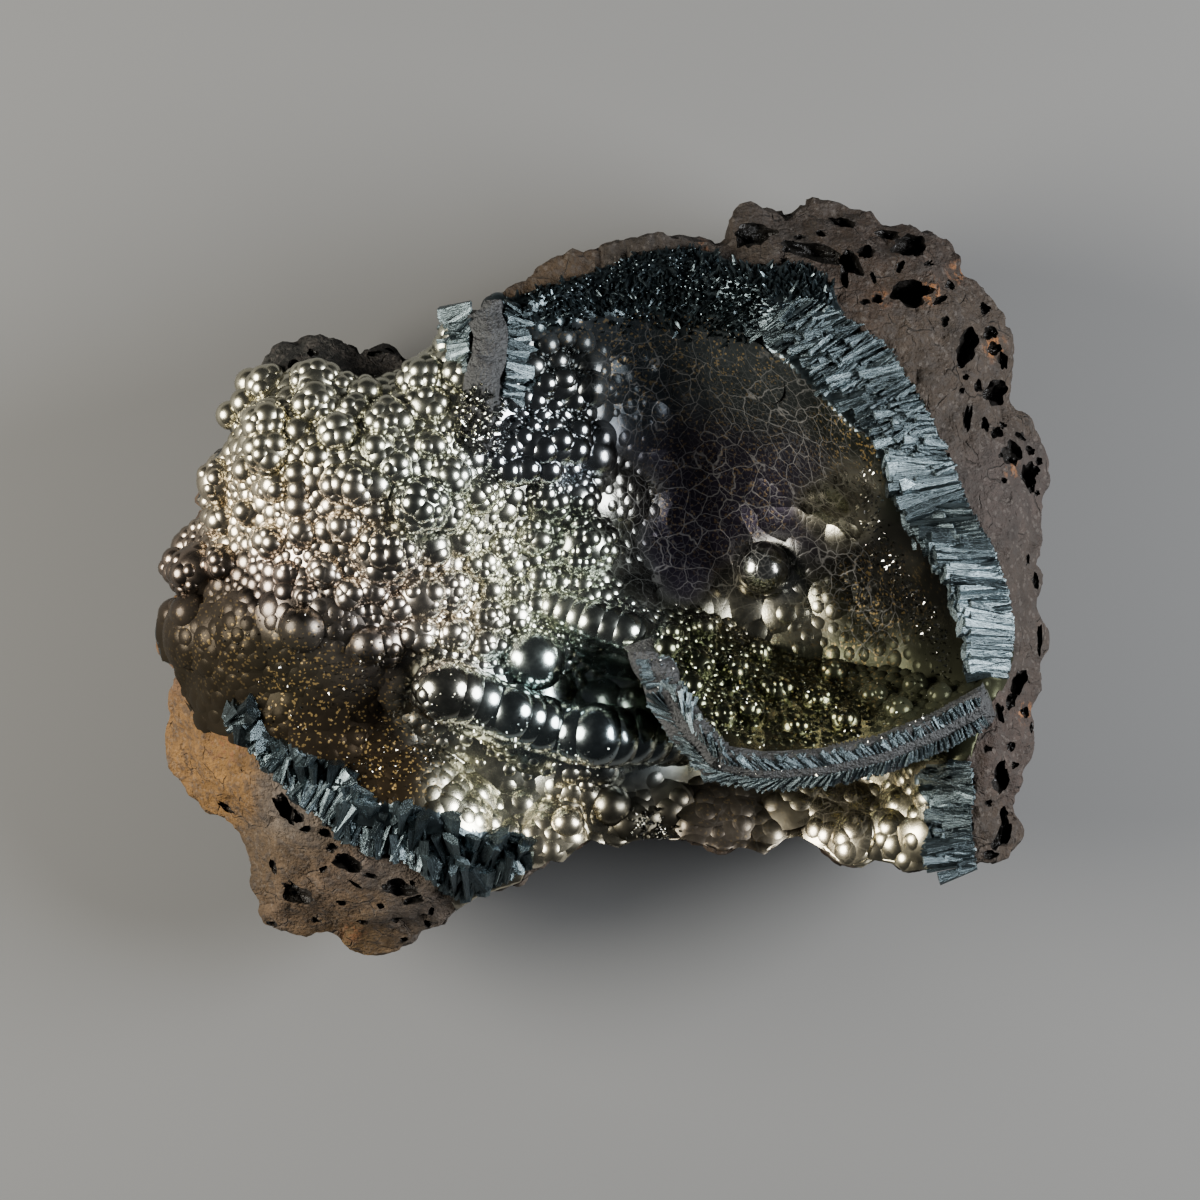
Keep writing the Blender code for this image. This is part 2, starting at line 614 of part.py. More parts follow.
def main():
    for obj in list(bpy.data.objects):
        bpy.data.objects.remove(obj)
    rock = collection("goethite")
    cutters = collection("cutters")

    body = rock_body(rock)
    ledge = standing_sheet("ledge", LEDGE_EDGE, LEDGE_ROOT, LEDGE_THICKNESS, rock)
    curtain = standing_sheet("curtain", CURTAIN_EDGE, CURTAIN_ROOT, CURTAIN_THICKNESS, rock)
    table = SWELL_LUMPS + BULB_LUMPS + RIDGE_LUMPS + LOWER_LEFT_LUMPS + HOLLOW_LUMPS
    grown = lumps_on_front(table, rock) + ledge_beads(rock) + fibre_splinters(rock)
    body = joined([body, ledge, curtain] + grown, "rock")
    body = remeshed(body, ROCK_VOXEL)
    body = remeshed(combined(body, matrix_pits(cutters), "DIFFERENCE"), ROCK_VOXEL)
    roughened(body)

    separator = crust_separator(cutters)
    wider = add_object("wider separator", separator.data.copy(), cutters)
    grow = wider.modifiers.new("gap", "DISPLACE")
    grow.strength = CRUST_GAP * MM
    grow.mid_level = 0.0
    wider = baked(wider)
    crust = combined(add_object("crust", body.data.copy(), rock), separator, "INTERSECT")
    matrix = combined(body, wider, "DIFFERENCE")
    crust = thinned(largest_piece(remeshed(crust, ROCK_VOXEL)), CRUST_TRIANGLES)
    matrix = thinned(largest_piece(remeshed(matrix, ROCK_VOXEL)), MATRIX_TRIANGLES)
    levelled(matrix)
    centred([crust, matrix])
    for cutter in cutters.objects:
        cutter.hide_render = True
        cutter.display_type = "WIRE"

    finish(crust, "goethite_crust", stone("black goethite", (0.035, 0.036, 0.038), 0.28, 0.7))
    finish(matrix, "limonite_matrix", stone("brown limonite", (0.17, 0.12, 0.085), 0.85, 0.0))


main()
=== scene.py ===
# %% [markdown]
# # A broken slab of goethite, made in Blender
#
# The specimen is a piece of the wall of a cavity. Brown, porous limonite carries a thick crust of
# goethite, and the crust's free surface is botryoidal: thousands of round, metallic beads that
# grew into each other. Where the crust is broken, it shows silky blue-grey fibres that stand on
# end between the limonite and the skin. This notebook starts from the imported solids, makes each
# of those surfaces as its own closed mesh in the same frame, and lights them as for a close-up.

# %% The frame
import json
import math

import bmesh
import bpy
import numpy as np
from mathutils import Matrix, Vector

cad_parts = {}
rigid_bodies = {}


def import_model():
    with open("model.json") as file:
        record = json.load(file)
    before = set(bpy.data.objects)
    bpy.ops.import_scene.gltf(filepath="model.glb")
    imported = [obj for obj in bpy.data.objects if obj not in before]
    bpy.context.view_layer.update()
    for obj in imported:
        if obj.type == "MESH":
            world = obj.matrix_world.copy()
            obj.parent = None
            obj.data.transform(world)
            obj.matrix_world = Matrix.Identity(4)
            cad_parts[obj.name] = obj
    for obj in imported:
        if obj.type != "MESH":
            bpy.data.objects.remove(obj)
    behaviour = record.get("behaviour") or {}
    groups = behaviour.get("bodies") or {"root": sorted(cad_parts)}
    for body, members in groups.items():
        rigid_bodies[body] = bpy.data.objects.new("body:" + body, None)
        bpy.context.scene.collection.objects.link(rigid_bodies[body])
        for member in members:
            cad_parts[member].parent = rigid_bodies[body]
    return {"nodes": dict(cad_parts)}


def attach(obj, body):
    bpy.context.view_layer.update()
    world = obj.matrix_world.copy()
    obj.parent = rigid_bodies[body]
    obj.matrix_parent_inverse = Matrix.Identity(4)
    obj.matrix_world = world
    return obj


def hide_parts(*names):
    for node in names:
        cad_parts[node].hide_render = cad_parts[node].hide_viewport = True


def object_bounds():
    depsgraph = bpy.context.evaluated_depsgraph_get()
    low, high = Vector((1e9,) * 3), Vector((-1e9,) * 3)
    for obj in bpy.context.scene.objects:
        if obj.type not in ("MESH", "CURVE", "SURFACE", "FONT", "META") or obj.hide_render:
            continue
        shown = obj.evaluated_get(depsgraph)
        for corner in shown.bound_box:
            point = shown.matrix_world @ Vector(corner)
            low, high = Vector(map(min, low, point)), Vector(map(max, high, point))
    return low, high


for obj in list(bpy.data.objects):
    bpy.data.objects.remove(obj)
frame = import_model()
cad_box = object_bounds()
print("solids:", sorted(frame["nodes"]), "box in mm:", [round(1000 * v, 1) for v in cad_box[1]])

# %% [markdown]
# ## From picture points to millimetres
#
# Every plan position below is written in points of a picture taken straight down on the crust.
# One scale and one middle turn them into millimetres in the frame of the solids, so a bead that
# is listed here stands exactly on the lump that the solid has in the same place.

# %% Scale and plan
MM = 0.001
MM_PER_POINT = 120.0 / 899.0
PICTURE_MIDDLE = (597.46, 577.62)


def on_plan(points):
    """Picture points as X and Y in mm from the middle of the rock."""
    points = np.asarray(points, float)
    x = (points[..., 0] - PICTURE_MIDDLE[0]) * MM_PER_POINT
    y = (PICTURE_MIDDLE[1] - points[..., 1]) * MM_PER_POINT
    return np.stack([x, y], axis=-1)


def in_mm(line):
    """A line of picture points with heights, as places in mm."""
    line = np.asarray(line, float)
    return np.column_stack([on_plan(line[:, :2]), line[:, 2]])


print("one picture point is", round(MM_PER_POINT, 4), "mm")

# %% [markdown]
# ## The outlines
#
# Two closed lines on plan hold the whole composition: the broken edge of the rock, and the line
# where the dark crust gives way to brown limonite. The second is carried well past the rock's
# edge wherever crust and rock end together, so that a cut along it leaves no sliver.

# %% Outlines
ROCK_OUTLINE = [
    (268, 352), (276, 346), (296, 346), (306, 339), (318, 336), (324, 342), (336, 345), (348, 352),
    (358, 359), (368, 351), (385, 352), (400, 359), (412, 362), (425, 357), (434, 348), (440, 335),
    (446, 326), (458, 322), (474, 318), (484, 312), (489, 299), (500, 296), (510, 289), (522, 284),
    (534, 276), (546, 267), (556, 262), (570, 259), (584, 257), (590, 252), (604, 248), (620, 244),
    (628, 240), (648, 237), (664, 234), (680, 238), (692, 243), (706, 242), (718, 246), (730, 243),
    (733, 238), (735, 222), (744, 212), (760, 209), (780, 210), (786, 216), (796, 214), (804, 206),
    (812, 199), (820, 199), (832, 204), (846, 206), (856, 210), (862, 207), (872, 211), (880, 220),
    (886, 225), (898, 222), (914, 221), (916, 229), (926, 231), (936, 232), (944, 238), (952, 246),
    (960, 258), (960, 268), (966, 277), (978, 281), (984, 292), (992, 303), (1002, 315),
    (1006, 327), (1014, 336), (1012, 350), (1006, 360), (1010, 375), (1008, 395), (1008, 410),
    (1016, 414), (1028, 422), (1036, 432), (1043, 448), (1046, 462), (1044, 490), (1042, 520),
    (1038, 550), (1036, 565), (1043, 570), (1044, 580), (1038, 590), (1034, 605), (1037, 620),
    (1048, 628), (1050, 640), (1044, 652), (1034, 660), (1033, 670), (1040, 680), (1040, 692),
    (1030, 700), (1026, 712), (1030, 728), (1030, 745), (1020, 765), (1019, 778), (1012, 795),
    (1006, 812), (1018, 822), (1022, 836), (1014, 850), (1000, 860), (980, 861), (965, 866),
    (948, 867), (920, 867), (905, 869), (895, 862), (875, 858), (862, 866), (842, 862), (834, 856),
    (828, 850), (815, 842), (800, 835), (785, 838), (776, 845), (765, 853), (752, 848), (740, 846),
    (724, 851), (712, 846), (700, 842), (686, 838), (672, 839), (660, 837), (645, 838), (632, 840),
    (618, 847), (604, 842), (590, 838), (580, 842), (570, 852), (562, 860), (548, 858), (540, 865),
    (530, 868), (524, 868), (520, 882), (508, 886), (490, 892), (478, 895), (468, 903), (456, 910),
    (446, 920), (438, 930), (424, 933), (410, 942), (400, 951), (384, 956), (370, 959), (350, 959),
    (338, 948), (330, 938), (312, 938), (298, 940), (284, 934), (270, 933), (256, 931), (255, 918),
    (252, 900), (247, 880), (242, 860), (236, 845), (228, 828), (215, 818), (200, 815), (192, 800),
    (180, 785), (168, 770), (163, 755), (164, 735), (164, 715), (168, 695), (174, 682), (172, 670),
    (170, 663), (158, 660), (155, 650), (151, 635), (153, 620), (160, 608), (172, 602), (180, 600),
    (178, 590), (166, 578), (156, 568), (162, 560), (174, 552), (170, 545), (176, 535), (188, 525),
    (200, 515), (205, 505), (194, 499), (200, 492), (202, 480), (205, 465), (215, 455), (222, 450),
    (230, 440), (235, 425), (224, 418), (222, 410), (228, 402), (234, 392), (240, 380), (252, 373),
    (262, 370),
]
CRUST_OUTLINE = [
    (130, 670), (166, 667), (178, 700), (196, 725), (215, 737), (246, 738), (264, 750), (274, 768),
    (288, 788), (303, 803), (325, 822), (342, 842), (375, 853), (402, 853), (432, 866), (441, 885),
    (450, 903), (462, 935), (560, 920), (760, 920), (972, 930), (974, 862), (969, 835), (970, 805),
    (966, 765), (974, 735), (990, 707), (1008, 677), (1014, 650), (1008, 620), (1006, 590),
    (990, 548), (962, 505), (946, 466), (930, 424), (918, 396), (900, 368), (880, 344), (852, 325),
    (832, 306), (834, 284), (806, 264), (765, 269), (738, 268), (716, 253), (690, 248), (640, 252),
    (612, 265), (580, 277), (540, 287), (508, 302), (484, 290), (455, 262), (400, 300), (424, 350),
    (400, 372), (366, 381), (340, 371), (300, 370), (264, 374), (232, 350), (180, 380), (120, 560),
]
print(len(ROCK_OUTLINE), "points round the rock,", len(CRUST_OUTLINE), "round the crust")

# %% [markdown]
# ## The relief of the face
#
# The crust's face is a landscape: a swell at the left, a deep hollow in the middle, and a high
# broken rim at the right. A carver would rough it out from a few measured heights, and so does
# this cell. Each post is a picture point and a height above the table in millimetres. A thin
# plate, the smoothest sheet close to all the posts, fills in the rest.

# %% Height posts
BROKEN_RIM = [
    (510, 290, 40), (580, 265, 40), (660, 248, 40), (735, 250, 39), (760, 300, 43), (820, 225, 34),
    (830, 300, 43), (900, 240, 35), (920, 330, 42), (985, 320, 36), (1000, 430, 40),
    (870, 380, 45), (935, 430, 45), (920, 520, 45), (980, 500, 44), (1030, 500, 39),
    (1025, 600, 40), (980, 600, 45), (1030, 690, 38), (1000, 740, 42), (945, 760, 41),
    (1010, 840, 37), (950, 850, 40), (800, 375, 45), (850, 430, 46), (885, 490, 46),
    (925, 560, 46), (956, 635, 45),
]
HOLLOW = [
    (600, 300, 36), (660, 290, 36), (720, 320, 37), (640, 350, 31), (700, 370, 30), (750, 370, 38),
    (790, 430, 34), (850, 505, 33), (880, 560, 32), (908, 612, 33), (930, 655, 36), (800, 480, 30),
    (755, 450, 27), (700, 440, 25), (645, 420, 28), (650, 500, 24), (700, 520, 22), (750, 520, 23),
    (800, 550, 26), (850, 600, 27), (760, 600, 25), (700, 600, 26), (645, 570, 27), (602, 480, 31),
    (880, 650, 31), (820, 650, 27),
]
LEFT_SWELL = [
    (240, 390, 34), (300, 370, 36), (320, 350, 35), (380, 365, 35), (420, 375, 39), (455, 340, 42),
    (270, 440, 41), (340, 440, 44), (400, 440, 45), (450, 430, 43), (495, 430, 40), (545, 420, 36),
    (220, 480, 34), (290, 500, 42), (350, 500, 45), (410, 510, 45), (460, 520, 41), (500, 500, 38),
    (540, 520, 35), (590, 540, 32), (228, 530, 34), (300, 560, 41), (370, 560, 43), (430, 580, 41),
    (480, 570, 37), (520, 580, 35), (560, 590, 34), (180, 570, 30),
]
CENTRE = [
    (450, 620, 40), (490, 640, 38), (540, 640, 35), (600, 610, 35), (640, 640, 35), (600, 680, 30),
    (560, 700, 34), (450, 690, 40), (520, 715, 38), (600, 740, 36), (660, 730, 32), (640, 690, 30),
]
LOWER_LEFT = [
    (170, 630, 31), (230, 630, 37), (290, 630, 41), (350, 640, 42), (400, 650, 41), (330, 690, 39),
    (270, 690, 37), (215, 690, 34), (380, 722, 35), (430, 740, 34), (360, 770, 37), (420, 780, 37),
    (290, 740, 37), (300, 790, 38), (345, 805, 38), (400, 830, 37), (450, 850, 36), (500, 862, 35),
]
LOWER_LINING = [
    (470, 760, 32), (500, 800, 32), (462, 815, 37), (540, 790, 31), (560, 840, 35), (620, 790, 29),
    (620, 832, 33), (690, 780, 26), (700, 828, 32), (760, 800, 26), (760, 840, 33), (820, 790, 27),
    (830, 832, 33), (880, 790, 29), (880, 845, 36), (700, 680, 25), (760, 690, 26), (820, 700, 27),
    (880, 700, 30), (925, 695, 36),
]
TAIL = [
    (180, 720, 28), (172, 765, 25), (220, 780, 30), (250, 830, 30), (300, 870, 32), (265, 905, 26),
    (350, 900, 31), (420, 895, 33), (400, 935, 27), (345, 945, 25), (455, 893, 33),
]
POSTS = BROKEN_RIM + HOLLOW + LEFT_SWELL + CENTRE + LOWER_LEFT + LOWER_LINING + TAIL
print(len(POSTS), "height posts, from", min(p[2] for p in POSTS), "to", max(p[2] for p in POSTS))


# %% The sheet through the posts
SHEET_SLACK = 4.0


def thin_plate(posts):
    """The smoothest sheet close to all the height posts, as a function of plan points."""
    posts = np.array(posts, float)
    plan, height = on_plan(posts[:, :2]), posts[:, 2]
    count = len(posts)

    def bend(a, b):
        square = ((a[:, None, :] - b[None, :, :]) ** 2).sum(axis=2)
        return square * np.log(square + 1e-9)

    system = np.zeros((count + 3, count + 3))
    system[:count, :count] = bend(plan, plan) + np.eye(count) * SHEET_SLACK
    system[:count, count:] = np.column_stack([np.ones(count), plan])
    system[count:, :count] = system[:count, count:].T
    weights = np.linalg.solve(system, np.concatenate([height, np.zeros(3)]))

    def sheet(points):
        level = np.column_stack([np.ones(len(points)), points]) @ weights[count:]
        return bend(points, plan) @ weights[:count] + level

    return sheet


def smooth_step(share):
    share = np.clip(share, 0.0, 1.0)
    return share * share * (3.0 - 2.0 * share)


def edge_distance(points, outline):
    """How far each plan point is from the outline, in mm."""
    start = on_plan(outline)
    run = np.roll(start, -1, axis=0) - start
    nearest = np.full(len(points), np.inf)
    for a, ab in zip(start, run):
        along = np.clip((points - a) @ ab / (ab @ ab), 0.0, 1.0)
        gap = points - a - along[:, None] * ab
        nearest = np.minimum(nearest, np.hypot(gap[:, 0], gap[:, 1]))
    return nearest


def inside(points, outline):
    """True for plan points inside a closed outline of picture points."""
    corners = on_plan(outline)
    found = np.zeros(len(points), bool)
    for (ax, ay), (bx, by) in zip(corners, np.roll(corners, -1, axis=0)):
        crosses = (ay > points[:, 1]) != (by > points[:, 1])
        reach = ax + (points[:, 1] - ay) * (bx - ax) / (by - ay if by != ay else 1e-9)
        found ^= crosses & (points[:, 0] < reach)
    return found


front_sheet = thin_plate(POSTS)
EDGE_DROP, EDGE_WIDTH = 3.0, 5.0


def front_height(points):
    """Height of the face in mm, falling away where it meets the rock's broken edge."""
    inset = edge_distance(points, ROCK_OUTLINE)
    return front_sheet(points) - EDGE_DROP * (1.0 - smooth_step(inset / EDGE_WIDTH))


def front_normal(points):
    """The direction that the smooth face looks in at each plan point."""
    step = 0.4
    east = front_height(points + (step, 0.0)) - front_height(points - (step, 0.0))
    north = front_height(points + (0.0, step)) - front_height(points - (0.0, step))
    normals = np.column_stack([-east, -north, np.full(len(points), 2.0 * step)])
    return normals / np.linalg.norm(normals, axis=1, keepdims=True)


print("deepest point of the hollow:", round(front_height(on_plan([(710, 530)]))[0], 1), "mm")

# %% [markdown]
# ## Small tools for meshes
#
# A few helpers are used by every piece: read and write vertex places as arrays, put a mesh in the
# scene, bake modifiers, and cut or join two closed meshes. The manifold solver is the quickest
# for closed bodies and leaves them closed, which matters once hundreds of beads are joined.


# %% Mesh tools
def read(items, key, size=1, kind=float):
    """One property of every vertex, face, corner or edge, as an array with a row for each."""
    values = np.empty(len(items) * size, kind)
    items.foreach_get(key, values)
    return values.reshape(-1, size) if size > 1 else values


def coordinates(mesh):
    return read(mesh.vertices, "co", 3)


def set_coordinates(mesh, values):
    mesh.vertices.foreach_set("co", np.ascontiguousarray(values, np.float32).ravel())
    mesh.update()


def vertex_normals(mesh):
    return read(mesh.vertex_normals, "vector", 3)


def store(mesh, name, kind, domain, values):
    """Keeps one value for each face or vertex in an attribute."""
    layer = mesh.attributes.new(name, kind, domain)
    key = {"FLOAT_COLOR": "color", "FLOAT_VECTOR": "vector"}.get(kind, "value")
    number = np.int32 if kind == "INT" else np.float32
    layer.data.foreach_set(key, np.asarray(values, number).ravel())


def numbered(mesh, number):
    """Marks every face with the number of its ball; a face that lies on none has -1."""
    store(mesh, "ball", "INT", "FACE", np.full(len(mesh.polygons), number))


def add_object(name, mesh):
    made = bpy.data.objects.new(name, mesh)
    bpy.context.scene.collection.objects.link(made)
    return made


def mesh_of(name, places, faces):
    """A mesh from arrays of places in mm and triangles."""
    mesh = bpy.data.meshes.new(name)
    mesh.vertices.add(len(places))
    mesh.vertices.foreach_set("co", (places * MM).astype(np.float32).ravel())
    mesh.loops.add(faces.size)
    mesh.loops.foreach_set("vertex_index", faces.astype(np.int32).ravel())
    mesh.polygons.add(len(faces))
    mesh.polygons.foreach_set("loop_start", np.arange(0, faces.size, 3, dtype=np.int32))
    mesh.update(calc_edges=True)
    return mesh


def baked(obj):
    """Replaces an object by the plain mesh that its modifiers, or its curve, make."""
    bpy.context.view_layer.update()
    graph = bpy.context.evaluated_depsgraph_get()
    mesh = bpy.data.meshes.new_from_object(obj.evaluated_get(graph))
    name = obj.name
    bpy.data.objects.remove(obj)
    mesh.name = name
    return add_object(name, mesh)


def remeshed(obj, voxel):
    modifier = obj.modifiers.new("fuse", "REMESH")
    modifier.mode = "VOXEL"
    modifier.voxel_size = voxel * MM
    return baked(obj)


def welded(mesh):
    cage = bmesh.new()
    cage.from_mesh(mesh)
    bmesh.ops.remove_doubles(cage, verts=cage.verts, dist=1e-6)
    bmesh.ops.recalc_face_normals(cage, faces=cage.faces)
    cage.to_mesh(mesh)
    cage.free()


def boolean(obj, other, operation):
    """Cuts or joins obj by another closed object, or by every object of a collection."""
    modifier = obj.modifiers.new(operation.lower(), "BOOLEAN")
    modifier.operation = operation
    modifier.solver = "MANIFOLD"
    if isinstance(other, bpy.types.Collection):
        modifier.operand_type = "COLLECTION"
        modifier.collection = other
    else:
        modifier.object = other
    return baked(obj)


def merged(obj, shapes, operation):
    """Joins or cuts obj by many closed meshes at once."""
    home = bpy.data.collections.new("shapes")
    for mesh in shapes:
        home.objects.link(bpy.data.objects.new("shape", mesh))
    bpy.context.scene.collection.children.link(home)
    made = boolean(obj, home, operation)
    for shape in list(home.objects):
        mesh = shape.data
        bpy.data.objects.remove(shape)
        bpy.data.meshes.remove(mesh)
    bpy.data.collections.remove(home)
    return made


def copy_of(obj, name):
    return add_object(name, obj.data.copy())


def triangles(obj):
    obj.data.calc_loop_triangles()
    return len(obj.data.loop_triangles)


# %% [markdown]
# ## Where the crust is broken
#
# At the right rim and at the lower left the crust is snapped off, and its inside shows: bands of
# silky fibre between the dark skin and the brown limonite. Each band is two lines on plan, its
# skin side and its limonite side. The bed sinks a little between them to make room for the
# fibres, which are added later as real splinters.

# %% Fibre bands
RIGHT_BAND = (
    [(742, 338), (760, 345), (785, 362), (800, 378), (825, 402), (850, 430), (868, 440),
     (880, 470), (890, 500), (905, 525), (925, 555), (945, 590), (955, 620), (962, 650),
     (962, 672)],
    [(800, 300), (830, 312), (860, 330), (885, 348), (906, 384), (920, 408), (932, 430),
     (946, 460), (962, 500), (978, 530), (992, 555), (1004, 590), (1010, 620), (1010, 645),
     (1006, 676)],
)
LOWER_LEFT_BAND = (
    [(255, 700), (264, 733), (290, 745), (320, 758), (345, 765), (360, 788), (375, 801),
     (410, 804), (440, 811), (465, 829), (490, 833), (512, 832), (522, 840)],
    [(222, 722), (240, 742), (262, 764), (284, 784), (305, 806), (326, 822), (344, 842),
     (376, 855), (408, 862), (438, 882), (456, 902), (490, 890), (526, 868)],
)
CORNER_BAND = (
    [(926, 766), (916, 778), (920, 792), (928, 805), (927, 830), (921, 848), (922, 866)],
    [(968, 762), (970, 778), (972, 795), (970, 810), (970, 830), (974, 848), (976, 866)],
)
BANDS = [RIGHT_BAND, LOWER_LEFT_BAND, CORNER_BAND]
BAND_DIP = 1.5


def bed_height(points):
    """The face without its beads, sunk a little under the bands of fibre."""
    height = front_height(points)
    for skin_side, rock_side in BANDS:
        outline = skin_side + rock_side[::-1]
        depth = smooth_step(edge_distance(points, outline) / 1.2)
        height -= BAND_DIP * depth * inside(points, outline)
    return height


# %% [markdown]
# ## The bare rock
#
# The rock's outline is filled and extruded, and a voxel remesh cuts the block into even small
# faces. Each vertex then slides to its height between the rough back and the face. The sides
# are drawn in towards the back and cut by a few sloping fracture planes, as a hammered slab is.

# %% The rock without its beads
BLOCK_HEIGHT = 40.0
ROCK_VOXEL, ROCK_GROWTH = 0.7, 0.25
WAIST_SHARE = 0.6
BACK_SHRINK = 0.15
REST_MARGIN, BACK_RISE, BACK_UNEVENNESS = 9.0, 4.5, 0.6
# Compass angle, lean and distance in mm of each fracture plane on the sides.
FRACTURE_FACES = [
    (8, 38, 49), (52, 44, 48), (98, 34, 43), (140, 46, 42), (176, 32, 50), (214, 42, 49),
    (238, 34, 47), (272, 40, 39), (318, 46, 47), (340, 34, 51),
]


def plan_block(name, outline, voxel, growth=0.0):
    """A block on an outline, in even small faces, and each vertex's share of its height."""
    curve = bpy.data.curves.new(name, "CURVE")
    curve.dimensions = "2D"
    curve.fill_mode = "BOTH"
    curve.extrude = BLOCK_HEIGHT / 2 * MM
    curve.offset = growth * MM
    spline = curve.splines.new("POLY")
    plan = on_plan(outline) * MM
    spline.points.add(len(plan) - 1)
    for point, (x, y) in zip(spline.points, plan):
        point.co = (x, y, 0.0, 1.0)
    spline.use_cyclic_u = True
    block = baked(add_object(name, curve))
    welded(block.data)
    if voxel:
        block = remeshed(block, voxel)
    values = coordinates(block.data)
    values[:, 2] = np.clip(values[:, 2] / (BLOCK_HEIGHT * MM) + 0.5, 0.0, 1.0)
    return block, values


def cloud(points, size, seed):
    """Smooth noise from -1 to 1 at points in mm, with features of about that size."""
    cells = np.asarray(points, float) / size + 17.31 * seed
    base = np.floor(cells).astype(np.int64)
    share = smooth_step(cells - base)
    total = np.zeros(len(cells))
    for corner in range(8):
        step = np.array([corner >> 2 & 1, corner >> 1 & 1, corner & 1])
        key = ((base + step) * (73856093, 19349663, 83492791)).sum(axis=1) + 7919 * seed
        key = (key ^ (key >> 13)) * 1274126177 & 0x7FFFFFFF
        key = (key ^ (key >> 16)) % 65521
        weight = np.where(step, share, 1.0 - share).prod(axis=1)
        total += weight * (key / 32760.0 - 1.0)
    return total


rock, values = plan_block("rock", ROCK_OUTLINE, ROCK_VOXEL, ROCK_GROWTH)
plan, share = values[:, :2] / MM, values[:, 2].copy()
inset = edge_distance(plan, ROCK_OUTLINE)
low = BACK_RISE * (1.0 - smooth_step(inset / REST_MARGIN)) ** 1.5
low *= 1.0 + BACK_UNEVENNESS * cloud(np.column_stack([plan, np.zeros(len(plan))]), 9.0, 3)
values[:, 2] = (low + share * (bed_height(plan) - low)) * MM
values[:, :2] *= (1.0 - BACK_SHRINK * np.clip(1.0 - share / WAIST_SHARE, 0.0, 1.0) ** 2)[:, None]
for angle, lean, distance in FRACTURE_FACES:
    angle, lean = math.radians(angle), math.radians(lean)
    facing = np.array(
        [math.cos(angle) * math.cos(lean), math.sin(angle) * math.cos(lean), -math.sin(lean)]
    )
    beyond = np.maximum(values @ facing - distance * math.cos(lean) * MM, 0.0)
    values -= (beyond * smooth_step((0.8 - share) / 0.3))[:, None] * facing
set_coordinates(rock.data, values)
print("bare rock:", triangles(rock), "triangles")

# %% [markdown]
# ## Parting crust from limonite
#
# The real crust grew on the limonite, so the two share one wavy contact. One separator solid,
# everything above that contact inside the crust's outline, gives both: the crust is the rock
# inside it, and the limonite is the rock outside a slightly smaller copy, so that the crust
# sits a hair deep in its bed and no light gets between them.

# %% The contact
CRUST_THICKNESS = 5.5
BED_OVERLAP = 0.3
SEPARATOR_VOXEL, SEPARATOR_TOP = 1.4, 75.0


def separator_block():
    block, values = plan_block("separator", CRUST_OUTLINE, SEPARATOR_VOXEL)
    plan, share = values[:, :2] / MM, values[:, 2].copy()
    low = front_sheet(plan) - CRUST_THICKNESS
    values[:, 2] = (low + share * (SEPARATOR_TOP - low)) * MM
    set_coordinates(block.data, values)
    modifier = block.modifiers.new("round the corners", "SMOOTH")
    modifier.factor, modifier.iterations = 0.5, 6
    return baked(block)


separator = separator_block()
crust = boolean(copy_of(rock, "crust"), separator, "INTERSECT")
numbered(crust.data, -1)
shrink = separator.modifiers.new("overlap", "DISPLACE")
shrink.strength, shrink.mid_level = -BED_OVERLAP * MM, 0.0
separator = baked(separator)
matrix = boolean(rock, separator, "DIFFERENCE")
bpy.data.objects.remove(separator)
print("crust bed:", triangles(crust), "triangles; limonite:", triangles(matrix), "triangles")

# %% [markdown]
# ## Three growths
#
# The crust is finished as three pieces that meet in its valleys: the beaded swell at the left,
# the lining of the hollow, and the lower lining with the long ridge. Smaller pieces keep each
# mesh light enough to store whole, and let each growth have beads of its own size.

# %% Cut the crust into its growths
GROWTHS = {
    "left_swell": [
        (60, 200), (500, 200), (500, 470), (545, 520), (600, 560), (640, 600), (640, 660),
        (560, 690), (440, 650), (380, 640), (300, 620), (60, 600),
    ],
    "hollow_lining": [
        (500, 150), (1100, 150), (1100, 700), (640, 700), (640, 660), (640, 600), (600, 560),
        (545, 520), (500, 470), (500, 200),
    ],
    "lower_lining": [
        (60, 600), (300, 620), (380, 640), (440, 650), (560, 690), (640, 660), (640, 700),
        (1100, 700), (1100, 1000), (60, 1000),
    ],
}


CUT_MIDDLE = 30.0


def cut_to(obj, outline, growth=0.0):
    """What of a piece lies inside an outline on plan, grown by so many mm."""
    block, _ = plan_block("cut", outline, 0, growth)
    block.data.transform(Matrix.Translation((0.0, 0.0, CUT_MIDDLE * MM)))
    numbered(block.data, -1)
    piece = boolean(obj, block, "INTERSECT")
    bpy.data.objects.remove(block)
    return piece


beds = {name: cut_to(copy_of(crust, name), outline) for name, outline in GROWTHS.items()}
bpy.data.objects.remove(crust)
print({name: triangles(bed) for name, bed in beds.items()})

# %% [markdown]
# ## Beads as true spheres
#
# A botryoidal surface is a crowd of spheres that met while they grew, and its creases are the
# sharp lines where two spheres cross. Sculpting or displacement blurs those lines. Here each
# bead is a real ball, all balls are joined to the bed by one exact union, and every face keeps
# the number of the ball it came from. Low swellings of the lining are wide, shallow caps.

# %% Balls and caps
BALLS = []
# Radius in mm under which a ball takes the first or the second of the three templates.
SMALL_BALL, MIDDLE_BALL = 0.85, 2.6
RINGS_PER_MM, SIDES_PER_MM = 3.2, 12
CAP_OVERHANG, CONE_DEPTH = 1.25, 1.2


def ball_template(subdivisions):
    cage = bmesh.new()
    bmesh.ops.create_icosphere(cage, subdivisions=subdivisions, radius=1.0)
    cage.verts.ensure_lookup_table()
    places = np.array([tuple(vertex.co) for vertex in cage.verts])
    faces = np.array([[vertex.index for vertex in face.verts] for face in cage.faces])
    cage.free()
    return places, faces


TEMPLATES = {subdivisions: ball_template(subdivisions) for subdivisions in (2, 3, 4)}
turns = np.random.default_rng(7)


